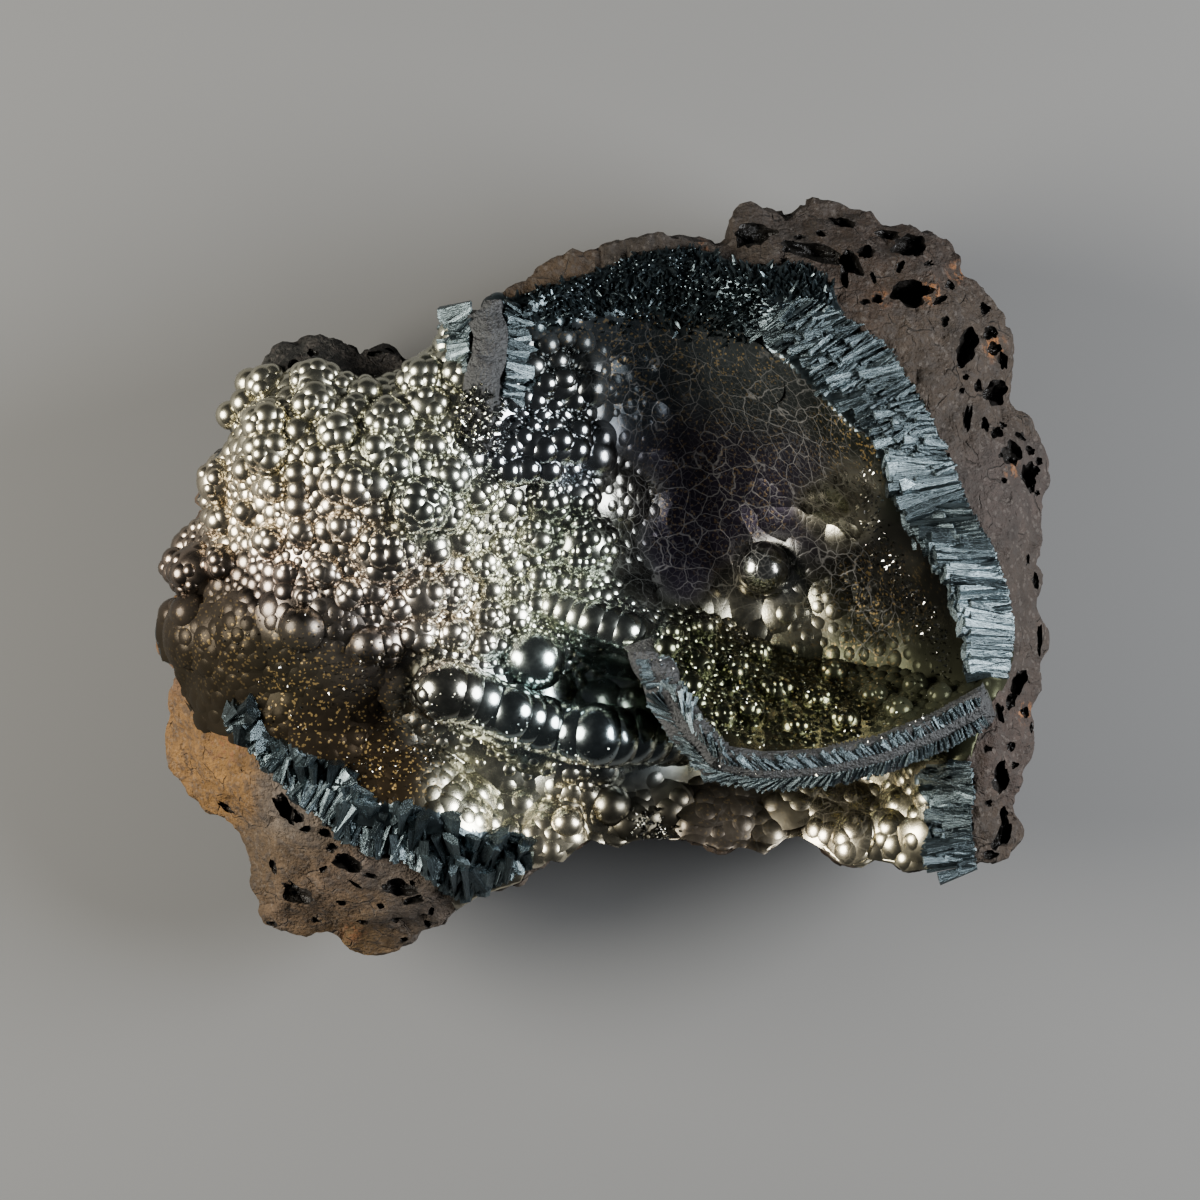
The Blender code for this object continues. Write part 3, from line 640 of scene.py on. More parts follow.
def random_turn():
    values = turns.normal(size=4)
    w, x, y, z = values / np.linalg.norm(values)
    return np.array([
        [1 - 2 * (y * y + z * z), 2 * (x * y - w * z), 2 * (x * z + w * y)],
        [2 * (x * y + w * z), 1 - 2 * (x * x + z * z), 2 * (y * z - w * x)],
        [2 * (x * z - w * y), 2 * (y * z + w * x), 1 - 2 * (x * x + y * y)],
    ])


def ball_mesh(centre, radius):
    """A whole ball, finer when it is larger, so that no facet shows."""
    places, faces = TEMPLATES[2 if radius < SMALL_BALL else 3 if radius < MIDDLE_BALL else 4]
    return places @ random_turn().T * radius + centre, faces


def cap_mesh(centre, radius, apex, foot):
    """The cap of a wide ball round its apex, closed by a cone below it."""
    normal = (apex - centre) / radius
    side = np.cross(normal, (0.3, 0.9, 0.1))
    side /= np.linalg.norm(side)
    other = np.cross(normal, side)
    reach = math.asin(min(0.98, CAP_OVERHANG * foot / radius))
    rings, around = max(6, int(foot * RINGS_PER_MM)), max(24, int(foot * SIDES_PER_MM))
    turn = np.arange(around) * 2 * math.pi / around
    places = [apex[None, :]]
    for ring in range(1, rings + 1):
        angle = reach * ring / rings
        sweep = np.outer(np.cos(turn), side) + np.outer(np.sin(turn), other)
        places.append(centre + radius * (math.cos(angle) * normal + math.sin(angle) * sweep))
    depth = radius * (1.0 - math.cos(reach)) + CONE_DEPTH
    places.append((apex - normal * depth)[None, :])
    faces = [(0, 1 + k, 1 + (k + 1) % around) for k in range(around)]
    for ring in range(rings - 1):
        first = 1 + ring * around
        for k in range(around):
            a, b = first + k, first + (k + 1) % around
            faces += [(a, a + around, b + around), (a, b + around, b)]
    first, last = 1 + (rings - 1) * around, 1 + rings * around
    faces += [(first + (k + 1) % around, first + k, last) for k in range(around)]
    return np.concatenate(places), np.array(faces)


def balls_on(height, table, share=None):
    """Rows of picture point, radius in points, share standing out, as (centre, radius, None)."""
    rows = np.array(table, float)
    plan, radius = on_plan(rows[:, :2]), rows[:, 2] * MM_PER_POINT
    level = height(plan) - radius * (1.0 - (rows[:, 3] if share is None else share))
    return [(np.array([*p, z]), r, None) for p, z, r in zip(plan, level, radius)]


def caps_on_face(table):
    """Rows of picture point, foot radius in points, share of it standing out."""
    rows = np.array(table, float)
    plan, foot = on_plan(rows[:, :2]), rows[:, 2] * MM_PER_POINT
    places = np.column_stack([plan, front_height(plan)])
    made = []
    for place, normal, a, share in zip(places, front_normal(plan), foot, rows[:, 3]):
        rise = share * a
        radius = (a * a + rise * rise) / (2 * rise)
        made.append((place + normal * (rise - radius), radius, (place + normal * rise, a)))
    return made


def grown(bed, balls):
    """Joins all the balls and caps to a bed with one union."""
    shapes = []
    for centre, radius, cap in balls:
        places, faces = cap_mesh(centre, radius, *cap) if cap else ball_mesh(centre, radius)
        shapes.append(mesh_of("ball", places, faces))
        numbered(shapes[-1], len(BALLS))
        BALLS.append((*centre, radius))
    return merged(bed, shapes, "UNION")


def face_numbers(mesh):
    return read(mesh.attributes["ball"].data, "value", 1, np.int32)


# %% [markdown]
# ## The large beads
#
# The large beads are individuals: a bead that stands free of its neighbours catches two bright
# highlights and is what the eye reads first. They are listed one by one, region by region, as
# picture point, radius in points, and the share of the radius that stands out of the face.

# %% Bead tables
SWELL_LUMPS = [
    (228, 414, 15, 0.72), (248, 382, 16, 0.65), (244, 402, 16, 0.65), (268, 385, 22, 0.72),
    (316, 384, 26, 0.72), (316, 408, 25, 0.72), (270, 428, 26, 0.80), (271, 451, 26, 0.87),
    (301, 432, 16, 0.58), (342, 436, 22, 0.80), (354, 416, 21, 0.65), (340, 392, 21, 0.46),
    (367, 396, 19, 0.65), (390, 424, 26, 0.80), (425, 384, 29, 0.80), (428, 408, 25, 0.65),
    (404, 408, 16, 0.65), (380, 450, 20, 0.65), (396, 468, 18, 0.72), (218, 481, 24, 0.80),
    (246, 470, 15, 0.58), (278, 486, 19, 0.65), (300, 474, 15, 0.72), (302, 490, 15, 0.72),
    (301, 506, 16, 0.80), (320, 458, 15, 0.58), (343, 486, 22, 0.65), (360, 484, 26, 0.65),
    (376, 486, 21, 0.58), (376, 512, 14, 0.65), (348, 526, 21, 0.72), (330, 528, 16, 0.58),
    (306, 532, 18, 0.65), (420, 504, 31, 0.87), (446, 512, 22, 0.65), (446, 478, 26, 0.65),
    (478, 492, 23, 0.58), (388, 552, 35, 0.87), (406, 566, 22, 0.65), (432, 546, 21, 0.58),
    (276, 540, 21, 0.58), (224, 520, 22, 0.50), (252, 512, 18, 0.50), (196, 572, 30, 0.65),
    (176, 568, 20, 0.65), (224, 564, 22, 0.58), (289, 574, 16, 0.65), (289, 592, 15, 0.58),
    (328, 572, 20, 0.65), (308, 596, 18, 0.50), (352, 594, 18, 0.65), (374, 588, 19, 0.65),
    (398, 606, 19, 0.65), (422, 596, 28, 0.72), (446, 592, 25, 0.72), (420, 632, 22, 0.58),
    (386, 642, 25, 0.50), (452, 636, 21, 0.58), (480, 566, 23, 0.50), (490, 590, 18, 0.50),
    (486, 618, 23, 0.58), (513, 616, 21, 0.65), (482, 646, 21, 0.50), (504, 552, 18, 0.50),
    (532, 604, 18, 0.58), (458, 540, 20, 0.50), (462, 376, 19, 0.58), (430, 448, 19, 0.58),
    (532, 536, 23, 0.58), (583, 545, 36, 0.72), (556, 552, 18, 0.50), (546, 500, 30, 0.58),
    (572, 498, 28, 0.58), (475, 565, 18, 0.58), (515, 590, 16, 0.58), (530, 600, 15, 0.58),
    (450, 635, 20, 0.58), (490, 645, 20, 0.58), (500, 545, 18, 0.58), (540, 580, 18, 0.58),
    (565, 615, 20, 0.65), (590, 632, 23, 0.65), (605, 625, 23, 0.65),
]
BULB_LUMPS = [
    (538, 388, 22, 0.9), (560, 386, 23, 1.2), (584, 388, 23, 1.4), (590, 366, 17, 1.2),
    (558, 362, 15, 1.0), (524, 398, 15, 0.9), (512, 445, 19, 1.0), (532, 446, 23, 1.2),
    (556, 446, 25, 1.4), (574, 440, 21, 1.4), (542, 468, 19, 1.3), (514, 470, 19, 1.2),
    (496, 466, 14, 0.9), (540, 416, 17, 0.9), (560, 414, 17, 1.1), (582, 412, 16, 1.1),
    (600, 440, 14, 1.0), (596, 462, 14, 1.0), (545, 345, 16, 0.8), (562, 338, 15, 0.8),
    (580, 342, 16, 0.8), (528, 362, 15, 0.8), (534, 328, 15, 0.7), (598, 350, 14, 0.8),
    (552, 322, 15, 0.6), (572, 320, 16, 0.6),
]
RIDGE_LUMPS = [
    (446, 690, 34, 1.4), (462, 694, 31, 1.4), (480, 700, 30, 1.35), (494, 707, 29, 1.3),
    (511, 712, 30, 1.35), (527, 718, 29, 1.3), (541, 724, 30, 1.35), (560, 729, 30, 1.3),
    (577, 733, 32, 1.35), (596, 735, 33, 1.4), (612, 737, 32, 1.3), (631, 737, 30, 1.3),
    (648, 740, 27, 1.2), (664, 744, 24, 1.1), (680, 748, 20, 1.0), (533, 660, 33, 1.1),
    (554, 606, 19, 1.0), (566, 611, 20, 1.1), (580, 617, 21, 1.15), (594, 622, 23, 1.2),
    (609, 627, 23, 1.2), (624, 632, 23, 1.2), (638, 638, 22, 1.1), (652, 645, 20, 1.0),
]
# Wide dark swellings of the lower left: picture point, foot radius, share standing out.
LOWER_LEFT_CELLS = [
    (176, 628, 32, 0.33), (206, 640, 30, 0.21), (240, 636, 36, 0.24), (284, 640, 34, 0.20),
    (326, 642, 36, 0.20), (300, 672, 40, 0.16), (250, 676, 34, 0.16), (360, 668, 38, 0.20),
    (396, 690, 34, 0.20), (352, 704, 40, 0.18), (300, 716, 40, 0.20), (262, 706, 30, 0.18),
    (338, 738, 40, 0.20), (384, 744, 40, 0.22), (420, 768, 38, 0.25), (450, 790, 32, 0.24),
    (376, 782, 36, 0.20), (426, 728, 24, 0.24), (470, 806, 28, 0.22),
]
HOLLOW_BALLS = [(766, 568, 28, 1.3)]
# The two grape clusters carry a second crop of small beads on their large ones.
CLUSTER_BEADS = [
    (532, 367, 16), (556, 361, 15), (580, 360, 18), (599, 371, 12), (545, 384, 15), (563, 380, 15),
    (589, 389, 21), (573, 400, 16), (535, 401, 15), (553, 403, 15), (511, 400, 17), (520, 413, 15),
    (606, 388, 11), (507, 450, 15), (522, 438, 15), (543, 450, 18), (560, 441, 16), (575, 450, 17),
    (508, 471, 16), (527, 469, 17), (548, 470, 17), (561, 481, 13), (577, 430, 16), (553, 428, 15),
    (531, 427, 13), (513, 429, 15), (588, 461, 13), (496, 462, 13), (570, 468, 15), (489, 448, 12),
]
# Wide low swellings: picture point, radius of the foot in points, share of it standing out.
HOLLOW_CELLS = [
    (612, 330, 30, 0.16), (690, 395, 34, 0.14), (660, 425, 24, 0.15), (628, 500, 40, 0.18),
    (634, 500, 15, 0.16), (690, 520, 50, 0.07), (730, 480, 42, 0.08), (760, 420, 50, 0.07),
    (790, 470, 40, 0.10), (832, 500, 28, 0.20), (800, 525, 36, 0.10), (735, 540, 35, 0.08),
    (838, 545, 26, 0.16), (835, 596, 34, 0.12), (790, 612, 27, 0.18), (745, 606, 22, 0.18),
    (755, 632, 15, 0.20), (708, 600, 22, 0.16), (720, 372, 32, 0.11), (625, 437, 24, 0.14),
    (617, 380, 26, 0.12), (660, 470, 30, 0.08), (700, 450, 36, 0.07), (660, 555, 34, 0.10),
    (640, 590, 26, 0.14), (690, 570, 30, 0.10), (770, 500, 34, 0.08), (650, 370, 30, 0.10),
    (640, 330, 28, 0.11), (672, 330, 34, 0.08), (700, 300, 26, 0.08), (740, 330, 24, 0.07),
    (755, 372, 30, 0.07), (596, 430, 20, 0.16), (604, 470, 22, 0.16), (600, 410, 18, 0.15),
    (560, 330, 24, 0.07), (585, 320, 22, 0.08), (540, 350, 20, 0.07), (545, 320, 20, 0.05),
    (720, 630, 26, 0.12), (800, 650, 32, 0.12), (820, 560, 30, 0.12), (676, 610, 22, 0.14),
]
LOWER_CELLS = [
    (470, 752, 28, 0.20), (500, 776, 30, 0.17), (532, 760, 26, 0.15), (480, 790, 22, 0.18),
    (520, 800, 32, 0.15), (556, 788, 30, 0.14), (590, 780, 30, 0.14), (546, 822, 30, 0.18),
    (574, 832, 24, 0.21), (600, 815, 26, 0.18), (632, 800, 30, 0.15), (630, 830, 18, 0.20),
    (664, 812, 26, 0.15), (690, 826, 22, 0.21), (706, 800, 30, 0.14), (740, 826, 26, 0.22),
    (746, 796, 28, 0.12), (776, 832, 20, 0.21), (790, 800, 30, 0.17), (820, 830, 24, 0.22),
    (812, 790, 24, 0.15), (846, 838, 24, 0.26), (858, 800, 28, 0.22), (884, 838, 24, 0.22),
    (896, 802, 26, 0.18), (880, 770, 24, 0.12), (840, 768, 26, 0.11), (912, 840, 18, 0.18),
    (655, 780, 30, 0.11), (700, 770, 30, 0.09), (600, 690, 34, 0.17), (560, 690, 26, 0.18),
    (640, 700, 26, 0.15), (470, 725, 20, 0.20), (500, 740, 20, 0.17), (440, 740, 22, 0.20),
    (430, 712, 16, 0.22), (410, 735, 18, 0.20), (620, 665, 20, 0.20), (590, 655, 20, 0.22),
]
print("large beads:", len(SWELL_LUMPS + BULB_LUMPS + RIDGE_LUMPS))

# %% Grow the large beads on their beds
first_crop = {
    "left_swell": balls_on(front_height, SWELL_LUMPS),
    "hollow_lining": (
        balls_on(front_height, BULB_LUMPS + HOLLOW_BALLS) + caps_on_face(HOLLOW_CELLS)),
    "lower_lining": (
        balls_on(front_height, RIDGE_LUMPS) + caps_on_face(LOWER_CELLS + LOWER_LEFT_CELLS)),
}
for name, balls in first_crop.items():
    beds[name] = grown(beds[name], balls)
print({name: triangles(bed) for name, bed in beds.items()})

# %% [markdown]
# ## A second crop of small beads
#
# Between the large beads every valley is packed with small ones. Nobody lists a thousand beads
# by hand, so a Geometry Nodes tree sows them: points at a least spacing on the faces that a mask
# allows, and a small ball of random size on each point. The balls are then read back as centres
# and sizes and joined by the same exact union, so their creases are as sharp as the others.


# %% Node tools
def node(tree, kind, **settings):
    made = tree.nodes.new(kind)
    for key, value in settings.items():
        setattr(made, key, value)
    return made


def filled(tree, parts):
    """Adds nodes to a tree and links them.

    A part is a node's kind with its settings, and its inputs. An input is a plain value, or the
    name of another part and of the outlet that feeds it, as in "start.Seed"."""
    made = {"start": tree.nodes.new("NodeGroupInput")}
    for label, (kind, _) in parts.items():
        kind, *settings = kind.split()
        made[label] = node(tree, kind, **dict(setting.split("=") for setting in settings))
    for label, (_, inputs) in parts.items():
        for socket, value in inputs.items():
            if isinstance(value, str) and "." in value:
                source, outlet = value.split(".")
                outlet = int(outlet) if outlet.isdigit() else outlet
                tree.links.new(made[source].outputs[outlet], made[label].inputs[socket])
            else:
                made[label].inputs[socket].default_value = value
    return tree


def geometry_tree(name, inputs, parts):
    """A geometry tree that takes a mesh and the named inputs, one of them the seed."""
    tree = bpy.data.node_groups.new(name, "GeometryNodeTree")
    for label in ("Geometry", *inputs, "Seed"):
        kind = {"Geometry": "Geometry", "Seed": "Int"}.get(label, "Float")
        tree.interface.new_socket(label, in_out="INPUT", socket_type="NodeSocket" + kind)
    tree.interface.new_socket("Geometry", in_out="OUTPUT", socket_type="NodeSocketGeometry")
    return filled(tree, {
        **parts,
        "real": ("GeometryNodeRealizeInstances", {"Geometry": "planted.0"}),
        "paint": ("GeometryNodeSetMaterial", {"Geometry": "real.Geometry"}),
        "end": ("NodeGroupOutput", {"Geometry": "paint.Geometry"}),
    })


def run_tree(obj, tree, inputs):
    """Runs a tree on a copy of obj and gives back the plain mesh object that it makes."""
    worked = copy_of(obj, tree.name)
    modifier = worked.modifiers.new(tree.name, "NODES")
    modifier.node_group = tree
    for item in tree.interface.items_tree:
        if item.in_out == "INPUT" and item.name in inputs:
            modifier[item.identifier] = inputs[item.name]
    return baked(worked)


# %% The bead sower
SIZE_BIAS = 1.6
sower = geometry_tree("sown beads", ["Spacing", "Density", "Small", "Large", "Sink"], {
    "mask": ("GeometryNodeInputNamedAttribute data_type=FLOAT", {"Name": "beads"}),
    "spread": ("GeometryNodeDistributePointsOnFaces distribute_method=POISSON", {
        "Mesh": "start.Geometry", "Distance Min": "start.Spacing", "Density Max": "start.Density",
        "Density Factor": "mask.Attribute", "Seed": "start.Seed"}),
    "chance": ("FunctionNodeRandomValue data_type=FLOAT", {"Seed": "start.Seed"}),
    "bias": ("ShaderNodeMath operation=POWER", {0: "chance.1", 1: SIZE_BIAS}),
    "size": ("ShaderNodeMapRange", {
        "Value": "bias.0", "To Min": "start.Small", "To Max": "start.Large"}),
    "depth": ("ShaderNodeMath operation=MULTIPLY", {0: "size.Result", 1: "start.Sink"}),
    "inward": ("ShaderNodeMath operation=MULTIPLY", {0: "depth.0", 1: -1.0}),
    "shift": ("ShaderNodeVectorMath operation=SCALE", {0: "spread.Normal", "Scale": "inward.0"}),
    "settled": ("GeometryNodeSetPosition", {
        "Geometry": "spread.Points", "Offset": "shift.Vector"}),
    "ball": ("GeometryNodeMeshIcoSphere", {"Subdivisions": 2}),
    "planted": ("GeometryNodeInstanceOnPoints", {
        "Points": "settled.Geometry", "Instance": "ball.Mesh", "Scale": "size.Result"}),
})
BALL_POINTS = len(TEMPLATES[2][0])
LARGEST_DENSITY = 9e6


def face_places(mesh):
    return read(mesh.polygons, "center", 3) / MM


def face_normals(mesh):
    return read(mesh.polygon_normals, "vector", 3)


def sown_balls(obj, mask, spacing, sizes, sink, seed):
    """Sows beads on the masked faces and reads them back as (centre, radius, None)."""
    store(obj.data, "beads", "FLOAT", "FACE", mask)
    sown = run_tree(obj, sower, {
        "Spacing": spacing * MM, "Density": LARGEST_DENSITY, "Small": sizes[0] * MM,
        "Large": sizes[1] * MM, "Sink": sink, "Seed": seed,
    })
    places = coordinates(sown.data).reshape(-1, BALL_POINTS, 3) / MM
    bpy.data.objects.remove(sown)
    obj.data.attributes.remove(obj.data.attributes["beads"])
    centres = places.mean(axis=1)
    radii = np.linalg.norm(places[:, 0] - centres, axis=1)
    return [(centre, radius, None) for centre, radius in zip(centres, radii)]


def open_face(obj, depth=2.5):
    """True for faces that look up and lie near the free surface, not on the hidden sides."""
    places = face_places(obj.data)
    near = places[:, 2] > front_height(places[:, :2]) - depth
    return near & (face_normals(obj.data)[:, 2] > 0.05)


# %% Sow the swell and the valleys
def gap_to(places, line):
    """How far each place is from the nearest point of a line, in mm."""
    gap = np.full(len(places), np.inf)
    for point in line:
        gap = np.minimum(gap, np.linalg.norm(places - point, axis=1))
    return gap


def spots(places, table):
    """How much of each round spot, listed as picture point, radius and strength, a place gets."""
    total = np.zeros(len(places))
    for x, y, radius, strength in table:
        gap = np.linalg.norm(places[:, :2] - on_plan((x, y)), axis=1) / (radius * MM_PER_POINT)
        total = np.maximum(total, strength * smooth_step(1.4 - gap))
    return total


def ball_radii(obj):
    """The radius of the ball that each face lies on, or 0 on the bed itself."""
    sizes = np.array([row[3] for row in BALLS] + [0.0])
    return sizes[face_numbers(obj.data)]


FINE_CROP = [(500, 560, 50, 1), (470, 620, 50, 1), (560, 590, 50, 1), (610, 625, 40, 1),
             (350, 600, 40, 0.8), (200, 520, 40, 0.6), (310, 560, 40, 0.6), (400, 520, 30, 0.5)]
swell = beds["left_swell"]
fine = spots(face_places(swell.data), FINE_CROP)
size_here = ball_radii(swell)
coarse = open_face(swell) * (1.0 - 0.85 * fine)
# Least radius in mm of a bead that carries smaller ones, on the swell and where these are fine.
BEARING, FINE_BEARING = 2.35, 2.0
on_lumps, between = coarse * (size_here > BEARING), coarse * (size_here == 0)
second = sown_balls(swell, on_lumps, spacing=1.9, sizes=(1.25, 2.1), sink=0.7, seed=11)
second += sown_balls(swell, between, spacing=1.9, sizes=(1.7, 2.8), sink=0.82, seed=18)
beds["left_swell"] = swell = grown(swell, second)
fine, size_here = spots(face_places(swell.data), FINE_CROP), ball_radii(swell)
free = open_face(swell) * ((size_here == 0) | ((size_here > FINE_BEARING) & (fine > 0.5)))
third = sown_balls(swell, free, spacing=1.45, sizes=(1.2, 2.1), sink=0.8, seed=12)
beds["left_swell"] = swell = grown(swell, third)

VALLEY = [(395, 690), (420, 665), (440, 730), (520, 750), (600, 775), (640, 790), (600, 800),
          (470, 770), (430, 750), (405, 725)]
LOWER_LEFT_MOUND = [(120, 560), (440, 560), (450, 700), (500, 860), (120, 860)]
DIMPLED = [(430, 700), (520, 755), (640, 775), (720, 785), (920, 770), (925, 870), (500, 860),
           (150, 700), (150, 585), (380, 585), (440, 650)]
lower = beds["lower_lining"]
places = face_places(lower.data)[:, :2]
valley = inside(places, VALLEY) & open_face(lower)
valley_beads = sown_balls(lower, valley * 0.8, spacing=1.6, sizes=(1.2, 2.0), sink=0.8, seed=13)
lower = grown(lower, valley_beads)
places, size_here = face_places(lower.data)[:, :2], ball_radii(lower)
dimpled = inside(places, DIMPLED) & ~inside(places, VALLEY) & open_face(lower)
dimpled &= (face_normals(lower.data)[:, 2] > 0.5) & ((size_here == 0) | (size_here > 5.0))
mound = inside(places, LOWER_LEFT_MOUND)
for skin_side, rock_side in BANDS:
    dimpled &= ~inside(places, skin_side + rock_side[::-1])
cells = sown_balls(
    lower, dimpled & mound, spacing=2.1, sizes=(2.8, 4.2), sink=0.945, seed=19)
cells += sown_balls(
    lower, dimpled & ~mound, spacing=2.2, sizes=(2.4, 3.6), sink=0.90, seed=16)
lower = grown(lower, cells)
# The lining was snapped off along its lower edge, which cuts the outermost beads through.
EDGE_GROWTH = 0.35
beds["lower_lining"] = cut_to(lower, ROCK_OUTLINE, EDGE_GROWTH)
lining = beds["hollow_lining"]
slope = inside(face_places(lining.data)[:, :2], [
    (780, 590), (830, 560), (870, 500), (905, 560), (945, 640), (930, 668), (800, 660)])
slope |= inside(face_places(lining.data)[:, :2], [(592, 345), (650, 345), (660, 560), (600, 560)])
slope &= (face_normals(lining.data)[:, 2] > 0.5) & open_face(lining)
cells = sown_balls(lining, slope, spacing=2.0, sizes=(2.2, 3.4), sink=0.93, seed=17)
beds["hollow_lining"] = grown(lining, cells)
print("sown on the swell:", len(second), "and", len(third))


# %% Beads on beads
CLUSTER_SHARE = 0.25
bulbs = balls_on(front_height, BULB_LUMPS)


def top_height(plan):
    """Height of the highest bulb over each plan point, or of the bed where there is none."""
    height = bed_height(plan)
    for centre, radius, _ in bulbs:
        square = radius**2 - ((plan - centre[:2]) ** 2).sum(axis=1)
        over = square > 0
        height[over] = np.maximum(height[over], centre[2] + np.sqrt(square[over]))
    return height


cluster = balls_on(top_height, CLUSTER_BEADS, CLUSTER_SHARE)
beds["hollow_lining"] = grown(beds["hollow_lining"], cluster)
print({name: triangles(bed) for name, bed in beds.items()})

# %% [markdown]
# ## The ledge and the curtain
#
# Two plates of crust stand free. The ledge rises out of the hollow and ends in a broken edge over
# the lower lining; the curtain stands between the swell and the hollow and is broken off level.
# Each is a ruled sheet between an edge line and a root line, given a wall; the ledge has beads on
# it.

# %% Standing plates
PLATE_UNEVENNESS = 0.5
LEDGE_THICKNESS = 5.0
LEDGE_EDGE = [
    (650, 652, 41), (664, 690, 43.5), (684, 728, 45.5), (716, 764, 47), (760, 772, 47.5),
    (820, 768, 47.5), (880, 755, 47), (935, 733, 46), (985, 706, 44.5),
]
LEDGE_ROOT = [
    (606, 612, 32), (634, 606, 28), (676, 608, 24), (720, 616, 21), (765, 640, 20),
    (820, 655, 21), (880, 664, 24), (935, 672, 29), (985, 676, 36),
]
# Share of the way along the ledge, share down from its edge, radius in points.
LEDGE_BEADS = [
    (0.10, 0.30, 14), (0.17, 0.55, 16), (0.22, 0.20, 14), (0.28, 0.45, 18), (0.30, 0.75, 16),
    (0.36, 0.22, 15), (0.40, 0.55, 19), (0.45, 0.30, 16), (0.47, 0.75, 15), (0.53, 0.50, 19),
    (0.57, 0.22, 16), (0.62, 0.45, 18), (0.66, 0.70, 15), (0.68, 0.24, 16), (0.74, 0.46, 16),
    (0.80, 0.25, 15), (0.84, 0.52, 14), (0.90, 0.30, 13),
]
CURTAIN_THICKNESS = 4.6
CURTAIN_EDGE = [(486, 302, 41), (490, 330, 43), (488, 362, 44), (480, 400, 44.5), (476, 448, 43)]
CURTAIN_ROOT = [(486, 307, 35), (490, 332, 32), (492, 362, 29), (490, 400, 27), (486, 448, 28)]


def sheet_places(edge, root, along, down):
    """Points in mm on the surface stretched from an edge line to a root line."""
    rows = []
    for path in (edge, root):
        path = in_mm(path)
        place = np.asarray(along) * (len(path) - 1)
        columns = [np.interp(place, range(len(path)), path[:, axis]) for axis in range(3)]
        rows.append(np.column_stack(columns))
    down = np.asarray(down)[:, None]
    return rows[0] * (1.0 - down) + rows[1] * down


def standing_sheet(name, edge, root, thickness, seed):
    """A plate that stands on the crust, from its broken edge down to its root."""
    cage = bmesh.new()
    bmesh.ops.create_grid(cage, x_segments=15 * (len(edge) - 1), y_segments=40, size=0.5)
    mesh = bpy.data.meshes.new(name)
    cage.to_mesh(mesh)
    cage.free()
    values = coordinates(mesh)
    places = sheet_places(edge, root, values[:, 0] + 0.5, 0.5 - values[:, 1])
    wave = cloud(places, 5.0, seed) * 0.6 + cloud(places, 1.6, seed + 1) * 0.25
    places[:, 2] += PLATE_UNEVENNESS * wave
    places[:, 0] += PLATE_UNEVENNESS * cloud(places, 2.6, seed + 2)
    set_coordinates(mesh, places * MM)
    sheet = add_object(name, mesh)
    modifier = sheet.modifiers.new("thickness", "SOLIDIFY")
    modifier.thickness = thickness * MM
    modifier.offset = 0.0
    sheet = baked(sheet)
    welded(sheet.data)
    triangulate = sheet.modifiers.new("triangles", "TRIANGULATE")
    triangulate.keep_custom_normals = False
    sheet = baked(sheet)
    numbered(sheet.data, -1)
    return sheet


def ledge_frame(along, down):
    """Places on the ledge's middle sheet and the direction its beaded side looks in."""
    along, down = np.asarray(along, float), np.asarray(down, float)
    places = sheet_places(LEDGE_EDGE, LEDGE_ROOT, along, down)
    ahead = sheet_places(LEDGE_EDGE, LEDGE_ROOT, along + 0.01, down) - places
    ahead += places - sheet_places(LEDGE_EDGE, LEDGE_ROOT, along - 0.01, down)
    below = sheet_places(LEDGE_EDGE, LEDGE_ROOT, along, down + 0.01) - places
    normals = np.cross(below, ahead)
    normals *= np.sign(normals[:, 2:]) / np.linalg.norm(normals, axis=1, keepdims=True)
    return places, normals


ledge = standing_sheet("ledge", LEDGE_EDGE, LEDGE_ROOT, LEDGE_THICKNESS, 21)
along, down, radius = np.array(LEDGE_BEADS).T
places, normals = ledge_frame(along, down)
places += normals * LEDGE_THICKNESS / 2
ledge = grown(ledge, [(p, r * MM_PER_POINT, None) for p, r in zip(places, radius)])
upward = (face_normals(ledge.data)[:, 2] > 0.25) & (ball_radii(ledge) < 2.6)
line = sheet_places(LEDGE_EDGE, LEDGE_ROOT, np.linspace(0, 1, 90), np.zeros(90))
gap = gap_to(face_places(ledge.data), line)
clear = upward & (gap > 3.6)
ledge = grown(
    ledge, sown_balls(ledge, clear, spacing=1.6, sizes=(0.9, 1.8), sink=0.72, seed=14))
curtain = standing_sheet("curtain", CURTAIN_EDGE, CURTAIN_ROOT, CURTAIN_THICKNESS, 23)
curtain = cut_to(curtain, ROCK_OUTLINE, EDGE_GROWTH)
print("ledge:", triangles(ledge), "curtain:", triangles(curtain))

# %% [markdown]
# ## Silky fibre, standing on end
#
# Inside the crust, goethite grew as needles that fan out from the limonite and end at the skin.
# On a break they show as narrow blades side by side, each a little turned, so a few at a time
# flash in the light. The blades follow a line, which is work for Geometry Nodes: a guide line
# carries the direction of growth at every point, and the tree sets a tapering six-sided blade on
# it at each step, with its own roll, tilt, width and length.


